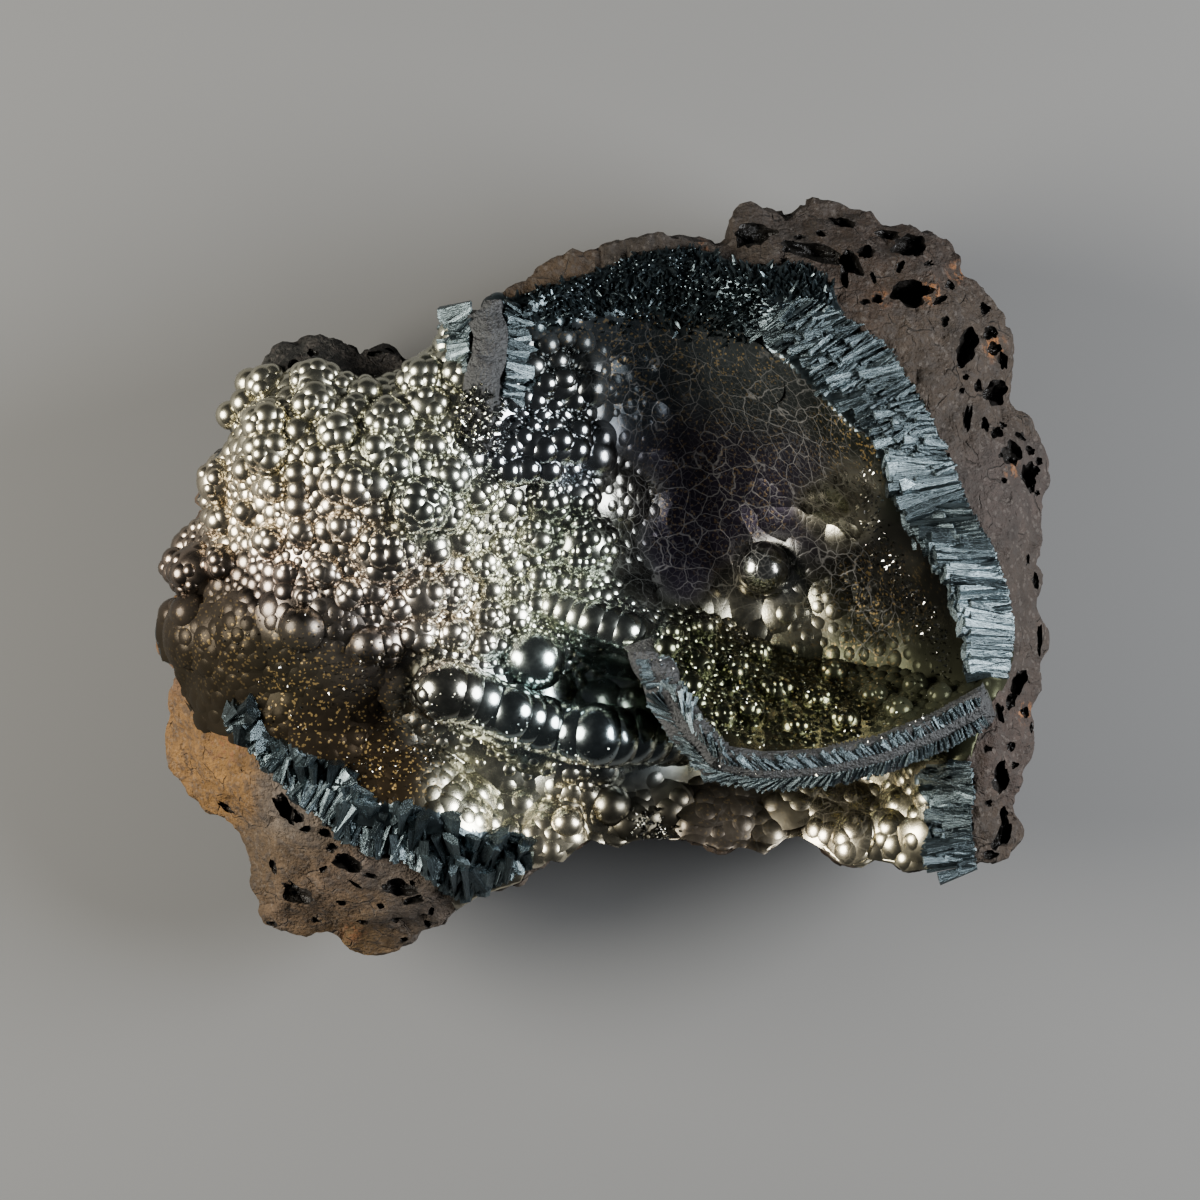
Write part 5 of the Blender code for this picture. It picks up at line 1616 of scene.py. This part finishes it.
# Picture point, radius in points, strength.
CRACKLED = [(700, 520, 90, 1.0), (770, 450, 90, 0.9), (660, 380, 70, 0.6), (820, 560, 50, 0.8),
            (640, 500, 40, 0.6), (860, 620, 50, 0.4), (840, 820, 50, 0.2), (740, 820, 50, 0.2)]
DUSTY = [(720, 480, 90, 0.25), (230, 630, 60, 0.3),
         (330, 690, 80, 0.6), (400, 760, 60, 0.8), (640, 320, 90, 0.3),
         (860, 440, 50, 0.4), (740, 340, 60, 0.3), (560, 320, 60, 0.3), (800, 690, 90, 0.6),
         (880, 600, 50, 0.2), (740, 800, 60, 0.3)]
MATT = [(895, 600, 50, 0.3), (860, 645, 50, 0.3), (850, 420, 44, 0.4),
        (830, 390, 40, 0.4), (892, 530, 34, 0.4), (795, 350, 40, 0.4), (760, 345, 40, 0.3),
        (400, 750, 60, 0.2), (330, 680, 60, 0.2), (740, 810, 60, 0.4),
        (650, 800, 50, 0.3), (840, 360, 40, 0.6)]
GLOSSY = [(560, 420, 60, 1.0), (530, 460, 50, 1.0), (766, 568, 30, 1.0), (540, 715, 60, 0.9),
          (620, 735, 50, 0.9), (450, 690, 40, 0.9), (583, 545, 30, 0.7), (540, 655, 34, 0.7),
          (690, 400, 60, 0.6), (390, 550, 30, 0.5), (420, 500, 30, 0.5), (600, 500, 50, 0.6),
          (620, 625, 40, 0.6), (800, 700, 90, 0.7), (700, 690, 60, 0.7)]
DARK_TO_BRIGHT, LEAST_TO_MOST_METAL = (0.015, 0.08), (0.3, 1.0)
SURFACES = {"crackled": CRACKLED, "dusty": DUSTY, "glossy": GLOSSY, "matt": MATT}


def blended(places, table):
    """Colours mixed from a table of soft spots, weighted by nearness."""
    total = np.full(len(places), 1e-9)
    colours = np.zeros((len(places), 3))
    for x, y, radius, colour in table:
        gap = np.linalg.norm(places[:, :2] - on_plan((x, y)), axis=1) / (radius * MM_PER_POINT)
        weight = np.exp(-1.6 * gap**2) + 1e-7
        total += weight
        colours += weight[:, None] * colour
    return colours / total[:, None]


def tinted(mesh, table, size, reach, seed):
    """Stores a tint at each place, from spots whose edges are made uneven by noise."""
    places = coordinates(mesh) / MM
    wander = np.column_stack(
        [cloud(places, size, seed), cloud(places, size, seed + 1), np.zeros(len(places))])
    tints = blended(places + reach * wander, table)
    colours = np.column_stack([tints, np.ones(len(tints))])
    store(mesh, "tint", "FLOAT_COLOR", "POINT", colours)
    return places, tints


for obj in [*skins, *druse]:
    places, tints = tinted(obj.data, SKIN_TINTS_AND_HIGHLIGHTS, 7.0, 2.5, 61)
    # The darkest skin is the least metallic, so it keeps a little tone away from the lights.
    metal = np.interp(tints.max(axis=1), DARK_TO_BRIGHT, LEAST_TO_MOST_METAL)
    store(obj.data, "metal", "FLOAT", "POINT", metal)
    for name, table in SURFACES.items():
        store(obj.data, name, "FLOAT", "POINT", spots(places, table))
print("tinted pieces:", len(skins) + len(druse))

# %% [markdown]
# ## Effects that several finishes share
#
# Three shader groups hold what more than one finish needs. Grain gives the fine bumps that turn
# a mirror into satin. Crackle draws the net of thin raised lines that parts the hollow's lining
# into cells. Drift makes slow, soft changes of tone. Each puts out only numbers, and every
# material sets their sizes for itself.


# %% Shader groups
NOISE = "ShaderNodeTexNoise"
SMOOTH_RANGE = "ShaderNodeMapRange interpolation_type=SMOOTHSTEP"


def shader_group(name, inputs, parts, ends):
    """A group of numbers: its inputs with their usual values, its nodes, and what it puts out."""
    group = bpy.data.node_groups.new(name, "ShaderNodeTree")
    for label, value in inputs.items():
        socket = group.interface.new_socket(label, in_out="INPUT", socket_type="NodeSocketFloat")
        socket.default_value = value
    for label in ends:
        group.interface.new_socket(label, in_out="OUTPUT", socket_type="NodeSocketFloat")
    return filled(group, {
        "place": ("ShaderNodeTexCoord", {}), **parts, "end": ("NodeGroupOutput", ends)})


GRAIN = shader_group("Grain", {"Scale": 2500.0}, {
    "fine": (NOISE, {"Vector": "place.Object", "Scale": "start.Scale", "Detail": 2.0}),
    "cells": ("ShaderNodeTexVoronoi feature=F1", {
        "Vector": "place.Object", "Scale": "start.Scale"}),
    "split": ("ShaderNodeSeparateColor", {"Color": "cells.Color"}),
    "rare": ("ShaderNodeMath operation=GREATER_THAN", {0: "split.0", 1: 0.90}),
}, {"Height": "fine.Fac", "Speck": "rare.0"})
CRACKLE = shader_group("Crackle", {"Scale": 700.0, "Width": 0.09}, {
    "bend": (NOISE, {"Vector": "place.Object", "Scale": 500.0, "Detail": 2.0}),
    "shift": ("ShaderNodeVectorMath operation=MULTIPLY_ADD", {
        0: "bend.Color", 1: (0.0012, 0.0012, 0.0012), 2: "place.Object"}),
    "cells": ("ShaderNodeTexVoronoi feature=DISTANCE_TO_EDGE", {
        "Vector": "shift.Vector", "Scale": "start.Scale"}),
    "near": (SMOOTH_RANGE, {
        "Value": "cells.Distance", "From Max": "start.Width", "To Min": 1.0, "To Max": 0.0}),
    "dome": ("ShaderNodeMath operation=POWER", {0: "cells.Distance", 1: 0.5}),
}, {"Line": "near.Result", "Height": "dome.0"})
DRIFT = shader_group("Drift", {"Scale": 120.0}, {
    "slow": (NOISE, {
        "Vector": "place.Object", "Scale": "start.Scale", "Detail": 4.0, "Roughness": 0.6}),
    "patch": (SMOOTH_RANGE, {"Value": "slow.Fac", "From Min": 0.48, "From Max": 0.62}),
}, {"Tone": "slow.Fac", "Patch": "patch.Result"})


# %% Material tools
# Most of a noise lies between these two values.
NOISE_SPAN = (0.3, 0.7)
WHOLE = (0.0, 1.0)


def feed(tree, socket, value):
    """Links a socket to another one, or sets its plain value."""
    if isinstance(value, bpy.types.NodeSocket):
        tree.links.new(value, socket)
    else:
        socket.default_value = value


def fed(tree, kind, inputs, **settings):
    """A node whose inputs are sockets or plain values; gives back its outputs."""
    made = node(tree, kind, **settings)
    for key, value in inputs.items():
        feed(tree, made.inputs[key], value)
    return made.outputs


def placed_group(tree, group, **values):
    return fed(tree, "ShaderNodeGroup", values, node_tree=group)


def attribute(tree, name, output="Fac"):
    return fed(tree, "ShaderNodeAttribute", {}, attribute_name=name)[output]


def math_node(tree, operation, first, second, clamp=False):
    return fed(tree, "ShaderNodeMath", {0: first, 1: second}, operation=operation,
               use_clamp=clamp)[0]


def times(tree, first, second, clamp=False):
    return math_node(tree, "MULTIPLY", first, second, clamp)


def plus(tree, first, *others):
    for other in others:
        first = math_node(tree, "ADD", first, other)
    return first


def ranged(tree, value, source, target):
    return fed(tree, "ShaderNodeMapRange", {
        "Value": value, "From Min": source[0], "From Max": source[1], "To Min": target[0],
        "To Max": target[1]})["Result"]


def toned(tree, scale, target):
    """The stored tint, made darker and lighter by a slow drift, and that drift's outputs."""
    drift = placed_group(tree, DRIFT, Scale=scale)
    tint, tone = attribute(tree, "tint", "Color"), ranged(tree, drift["Tone"], NOISE_SPAN, target)
    colour = fed(tree, "ShaderNodeVectorMath", {0: tint, "Scale": tone}, operation="SCALE")
    return colour["Vector"], drift


def noise(tree, place, scale, detail, roughness):
    return fed(tree, "ShaderNodeTexNoise", {
        "Vector": place, "Scale": scale, "Detail": detail, "Roughness": roughness})["Fac"]


def layered(tree, colour, *layers):
    """Lays colours over the first one, each with its share."""
    for share, layer in layers:
        first, second = (
            (*value, 1.0) if isinstance(value, tuple) else value for value in (colour, layer))
        colour = fed(tree, "ShaderNodeMix", {0: share, 6: first, 7: second}, data_type="RGBA")[2]
    return colour


def new_material(name, roughness, metallic):
    material = bpy.data.materials.new(name)
    material.use_nodes = True
    finished(material, {"Roughness": roughness, "Metallic": metallic})
    return material, material.node_tree


def finished(material, inputs, height=None, depth=0.0):
    """Feeds the material's Principled shader, with bumps that are depth mm high."""
    tree = material.node_tree
    if height is not None:
        bump = {"Distance": depth * MM, "Strength": 1.0, "Height": height}
        inputs["Normal"] = fed(tree, "ShaderNodeBump", bump)["Normal"]
    for key, value in inputs.items():
        feed(tree, tree.nodes["Principled BSDF"].inputs[key], value)
    return material


def dress(group, finish):
    for obj in group:
        obj.data.materials.clear()
        obj.data.materials.append(finish)


# %% [markdown]
# ## The metallic skin
#
# The skin reflects like dark metal: its colour is in its reflections, and what it doesn't
# reflect is black. So it is a metal whose colour is the stored tint, a little less metallic where
# it is darkest. Crackle lines are paler and rougher; dusty parts are rougher with bright specks;
# slow drift changes the polish.

# %% Skin finish
def skin_material():
    material, tree = new_material("goethite skin", 0.2, 1.0)
    tint, _ = toned(tree, 180.0, (0.75, 1.2))
    fine_drift = placed_group(tree, DRIFT, Scale=900.0)
    crackle = placed_group(tree, CRACKLE, Scale=330.0, Width=0.032)
    small_crackle = placed_group(tree, CRACKLE, Scale=1000.0, Width=0.07)
    grain = placed_group(tree, GRAIN, Scale=3500.0)
    crackled, dusty = attribute(tree, "crackled"), attribute(tree, "dusty")
    lines = math_node(tree, "MAXIMUM", crackle["Line"], times(tree, small_crackle["Line"], 0.35))
    lines = times(tree, lines, crackled, clamp=True)
    specks = times(tree, grain["Speck"], dusty)
    colour = layered(tree, tint, (times(tree, lines, 0.3), (0.34, 0.33, 0.32)),
                     (times(tree, specks, 0.5), (0.40, 0.27, 0.10)))
    metal = times(tree, attribute(tree, "metal"), ranged(tree, lines, WHOLE, (1.0, 0.55)))
    rough = plus(
        tree, ranged(tree, fine_drift["Tone"], NOISE_SPAN, (0.21, 0.30)),
        times(tree, attribute(tree, "glossy"), -0.10), times(tree, attribute(tree, "matt"), 0.3),
        times(tree, dusty, 0.08), times(tree, lines, 0.15))
    height = plus(
        tree, times(tree, crackle["Height"], crackled),
        times(tree, times(tree, small_crackle["Height"], 0.3), crackled),
        times(tree, grain["Height"], ranged(tree, dusty, WHOLE, (0.03, 0.6))))
    return finished(material, {
        "Base Color": colour, "Metallic": metal, "Roughness": rough, "Specular IOR Level": 0.0,
    }, height, 0.075)


dress(skins, skin_material())

# %% [markdown]
# ## Druse, fibre, broken core and limonite
#
# The druse is the same metal, polished, so its facets flash. The fibre is a blue-grey metal with
# streaks that run along each blade. The broken core of the ledge and the curtain is dull grey.
# Limonite is a plain rough stone, brown to ochre, with pale specks painted as glints, and with
# pits whose dark lining is pushed to near black as painted shade.


# %% The other finishes
def druse_material():
    material, tree = new_material("goethite druse", 0.12, 1.0)
    bright = layered(tree, attribute(tree, "tint", "Color"), (0.5, (0.55, 0.55, 0.52)))
    return finished(material, {"Base Color": bright})


def fibre_material():
    material, tree = new_material("goethite fibre", 0.3, 0.9)
    place = fed(tree, "ShaderNodeTexCoord", {})["Object"]
    drift, tone = placed_group(tree, DRIFT, Scale=260.0), attribute(tree, "blade")
    along = fed(tree, "ShaderNodeVectorMath", {
        0: attribute(tree, "local", "Vector"), 1: (9.0, 9.0, 0.7), 2: tone,
    }, operation="MULTIPLY_ADD")["Vector"]
    streaks, fine = noise(tree, along, 1.6, 3.0, 0.6), noise(tree, place, 2600.0, 2.0, 0.5)
    share = plus(tree, times(tree, tone, 0.5), times(tree, streaks, 0.7))
    colour = layered(tree, (0.006, 0.009, 0.012), (share, (0.14, 0.18, 0.195)),
                     (times(tree, drift["Patch"], 0.5), (0.022, 0.028, 0.029)))
    return finished(material, {
        "Base Color": colour, "Roughness": ranged(tree, streaks, NOISE_SPAN, (0.20, 0.36)),
    }, plus(tree, streaks, times(tree, fine, 0.4)), 0.12)


def limonite_material():
    material, tree = new_material("limonite", 0.9, 0.0)
    tint, drift = toned(tree, 260.0, (0.55, 1.35))
    mottle, freckle = (placed_group(tree, DRIFT, Scale=scale) for scale in (800.0, 2600.0))
    grain = placed_group(tree, GRAIN, Scale=2200.0)
    cracks = placed_group(tree, CRACKLE, Scale=230.0, Width=0.035)
    pit, rusty = attribute(tree, "pit"), attribute(tree, "rusty")
    split = times(tree, cracks["Line"], drift["Patch"])
    rust = times(tree, times(tree, rusty, mottle["Patch"]), 1.1, clamp=True)
    colour = layered(
        tree, tint,
        (times(tree, mottle["Patch"], 0.55), (0.028, 0.023, 0.020)),
        (times(tree, freckle["Patch"], 0.30), (0.020, 0.018, 0.016)),
        (rust, (0.15, 0.06, 0.018)),
        (times(tree, split, 0.5), (0.015, 0.013, 0.011)),
        # Pale specks of grain, painted as glints.
        (times(tree, grain["Speck"], 0.06), (0.30, 0.27, 0.24)),
        # The pits' dark lining, pushed to near black: painted shade in the cavities.
        (times(tree, pit, 0.92), (0.008, 0.0075, 0.007)),
    )
    height = plus(tree, times(tree, grain["Height"], 0.5), mottle["Tone"])
    height = math_node(tree, "SUBTRACT", height, times(tree, split, 0.5))
    return finished(material, {
        "Base Color": colour, "Roughness": ranged(tree, pit, WHOLE, (0.82, 0.30)),
        "Specular IOR Level": 0.25,
    }, height, 0.6)


LIMONITE_TINTS = [
    (200, 730, 44, (0.126, 0.065, 0.020)), (225, 780, 40, (0.122, 0.063, 0.018)),
    (180, 690, 24, (0.082, 0.045, 0.025)), (270, 860, 44, (0.055, 0.035, 0.018)),
    (320, 890, 44, (0.063, 0.040, 0.023)), (350, 940, 36, (0.074, 0.042, 0.014)),
    (410, 900, 50, (0.055, 0.042, 0.032)), (290, 800, 36, (0.074, 0.058, 0.045)),
    (360, 860, 30, (0.063, 0.048, 0.039)), (300, 350, 60, (0.006, 0.006, 0.005)),
    (380, 360, 40, (0.004, 0.003, 0.003)), (560, 265, 40, (0.023, 0.014, 0.007)),
    (650, 240, 40, (0.014, 0.010, 0.007)), (780, 235, 50, (0.020, 0.014, 0.010)),
    (830, 300, 50, (0.027, 0.017, 0.011)), (900, 250, 50, (0.019, 0.012, 0.008)),
    (920, 350, 50, (0.026, 0.018, 0.012)), (980, 400, 50, (0.024, 0.017, 0.012)),
    (985, 500, 60, (0.027, 0.020, 0.017)), (1010, 620, 60, (0.026, 0.019, 0.015)),
    (1000, 760, 60, (0.029, 0.020, 0.016)), (1000, 840, 40, (0.026, 0.018, 0.012)),
]
RUSTY = [(927, 293, 14, 1), (995, 347, 12, 1), (1025, 712, 10, 1), (190, 690, 12, 0.5),
         (960, 270, 12, 0.6), (1010, 470, 10, 0.5), (225, 745, 20, 0.6), (350, 935, 14, 0.6),
         (700, 250, 12, 0.4), (880, 300, 10, 0.6)]


def core_material():
    material, tree = new_material("broken core", 0.65, 0.0)
    drift, grain = placed_group(tree, DRIFT, Scale=900.0), placed_group(tree, GRAIN, Scale=2600.0)
    grey = layered(tree, (0.008, 0.009, 0.010), (drift["Tone"], (0.040, 0.042, 0.044)),
                   (times(tree, drift["Patch"], 0.8), (0.003, 0.003, 0.004)))
    height = plus(tree, grain["Height"], drift["Tone"])
    return finished(material, {"Base Color": grey}, height, 0.6)


fibre_finish, core_finish = fibre_material(), core_material()
dress(druse, druse_material())
dress(fibres, fibre_finish)
dress([matrix], limonite_material())
SHARP_ANGLE = math.radians(40)
matrix.name = matrix.data.name = "limonite_matrix_rock"
places, _ = tinted(matrix.data, LIMONITE_TINTS, 6.0, 3.0, 71)
store(matrix.data, "rusty", "FLOAT", "POINT", spots(places, RUSTY))
matrix.data.polygons.foreach_set("use_smooth", np.ones(len(matrix.data.polygons), bool))
matrix.data.set_sharp_from_angle(angle=SHARP_ANGLE)
kept_in_box(matrix)

# Inside the bands, and on the rough patch at the top, the bed is fibre too.
ROUGH_PATCH = [(490, 300), (510, 262), (560, 242), (640, 232), (720, 232), (800, 245),
               (852, 285), (862, 332), (800, 312), (748, 338), (715, 318), (640, 312),
               (585, 318), (540, 335)]
STEEP, WALL_WIDTH, EDGE_STEP = 0.4, 1.0, 0.5
rock_edge = even_line(level(ROCK_OUTLINE), EDGE_STEP)[:, :2]
for obj in (beds["hollow_lining"], beds["lower_lining"], beds["left_swell"]):
    obj.data.materials.append(fibre_finish)
    centres = face_places(obj.data)[:, :2]
    silky = inside(centres, ROUGH_PATCH)
    # The walls along the rock's edge are broken through, and show fibre too.
    steep = np.abs(face_normals(obj.data)[:, 2]) < STEEP
    wall = np.flatnonzero((face_numbers(obj.data) < 0) & steep)
    silky[wall[gap_to(centres[wall], rock_edge) < WALL_WIDTH]] = True
    for skin_side, rock_side in BANDS:
        silky |= inside(centres, skin_side + rock_side[::-1])
    obj.data.polygons.foreach_set("material_index", silky.astype(np.int32))

# The faces within reach of the ledge's and the curtain's broken edge show the grey core.
for obj, edge_line, reach in ((ledge, LEDGE_EDGE, 3.0), (curtain, CURTAIN_EDGE, 5.0)):
    obj.data.materials.append(core_finish)
    gap = gap_to(face_places(obj.data), even_line(in_mm(edge_line), EDGE_STEP))
    core = (gap < reach) & (face_numbers(obj.data) < 0)
    obj.data.polygons.foreach_set("material_index", core.astype(np.int32))
print("finishes:", len(bpy.data.materials))

# %% [markdown]
# ## Riding on the frame
#
# Every piece rides on a body, and the solid that it stands for is hidden. The rock has no
# moving part, so all of them ride on the one body.

# %% Tie the pieces to the solids
for obj in fibres + druse:
    kept_in_box(obj)
for obj in [*skins, *fibres, *druse]:
    obj.name = "goethite_" + obj.name if not obj.name.startswith("goethite_") else obj.name
    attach(obj, "root")
    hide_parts("goethite_crust")
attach(matrix, "root")
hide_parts("limonite_matrix")
everything = [*skins, *fibres, *druse, matrix]
print({obj.name: triangles(obj) for obj in everything})
print("all pieces:", sum(triangles(obj) for obj in everything), "triangles")

# %% [markdown]
# ## Floor, light and camera
#
# Polished beads show their surroundings, so the light is the other half of this finish. Two soft
# boxes, left and right and low, give every bead its two highlights and leave its middle black.
# The floor is plain and pale. The camera looks straight down on the crust through a long lens,
# so that the plan positions above fall on the same points of the picture.

# %% The studio
CAMERA_HEIGHT = 893.0
FOCUS_HEIGHT = 33.0


def area_light(name, place, size, power, colour, target=(0.0, 0.0, 30.0)):
    light = bpy.data.lights.new(name, "AREA")
    light.shape = "DISK"
    light.size = size * MM
    light.energy = power
    light.color = colour
    lamp = bpy.data.objects.new(name, light)
    lamp.location = Vector(place) * MM
    lamp.rotation_euler = (Vector(target) - Vector(place)).to_track_quat("-Z", "Y").to_euler()
    bpy.context.scene.collection.objects.link(lamp)
    return lamp


area_light("left box", (-410.0, 30.0, 270.0), 300.0, 7.5, (1.0, 0.96, 0.86))
area_light("right box", (410.0, 30.0, 270.0), 300.0, 7.5, (0.96, 0.98, 1.0))
world = bpy.data.worlds.new("studio")
world.use_nodes = True
background = world.node_tree.nodes["Background"]
background.inputs["Color"].default_value = (0.9, 0.95, 1.0, 1.0)
background.inputs["Strength"].default_value = 0.05
bpy.context.scene.world = world

floor_mesh = bpy.data.meshes.new("floor")
cage = bmesh.new()
bmesh.ops.create_grid(cage, x_segments=1, y_segments=1, size=3.0)
cage.to_mesh(floor_mesh)
cage.free()
floor = add_object("floor", floor_mesh)
floor_finish, _ = new_material("plain floor", 0.9, 0.0)
floor_mesh.materials.append(finished(floor_finish, {"Base Color": (0.105, 0.105, 0.105, 1.0)}))

lens = bpy.data.cameras.new("camera")
lens.lens, lens.sensor_width = 200.0, 36.0
lens.clip_start, lens.clip_end = 0.05, 10.0
camera = bpy.data.objects.new("camera", lens)
middle = on_plan((600.0, 600.0))
camera.location = Vector((middle[0], middle[1], FOCUS_HEIGHT + CAMERA_HEIGHT)) * MM
bpy.context.scene.collection.objects.link(camera)
bpy.context.scene.camera = camera
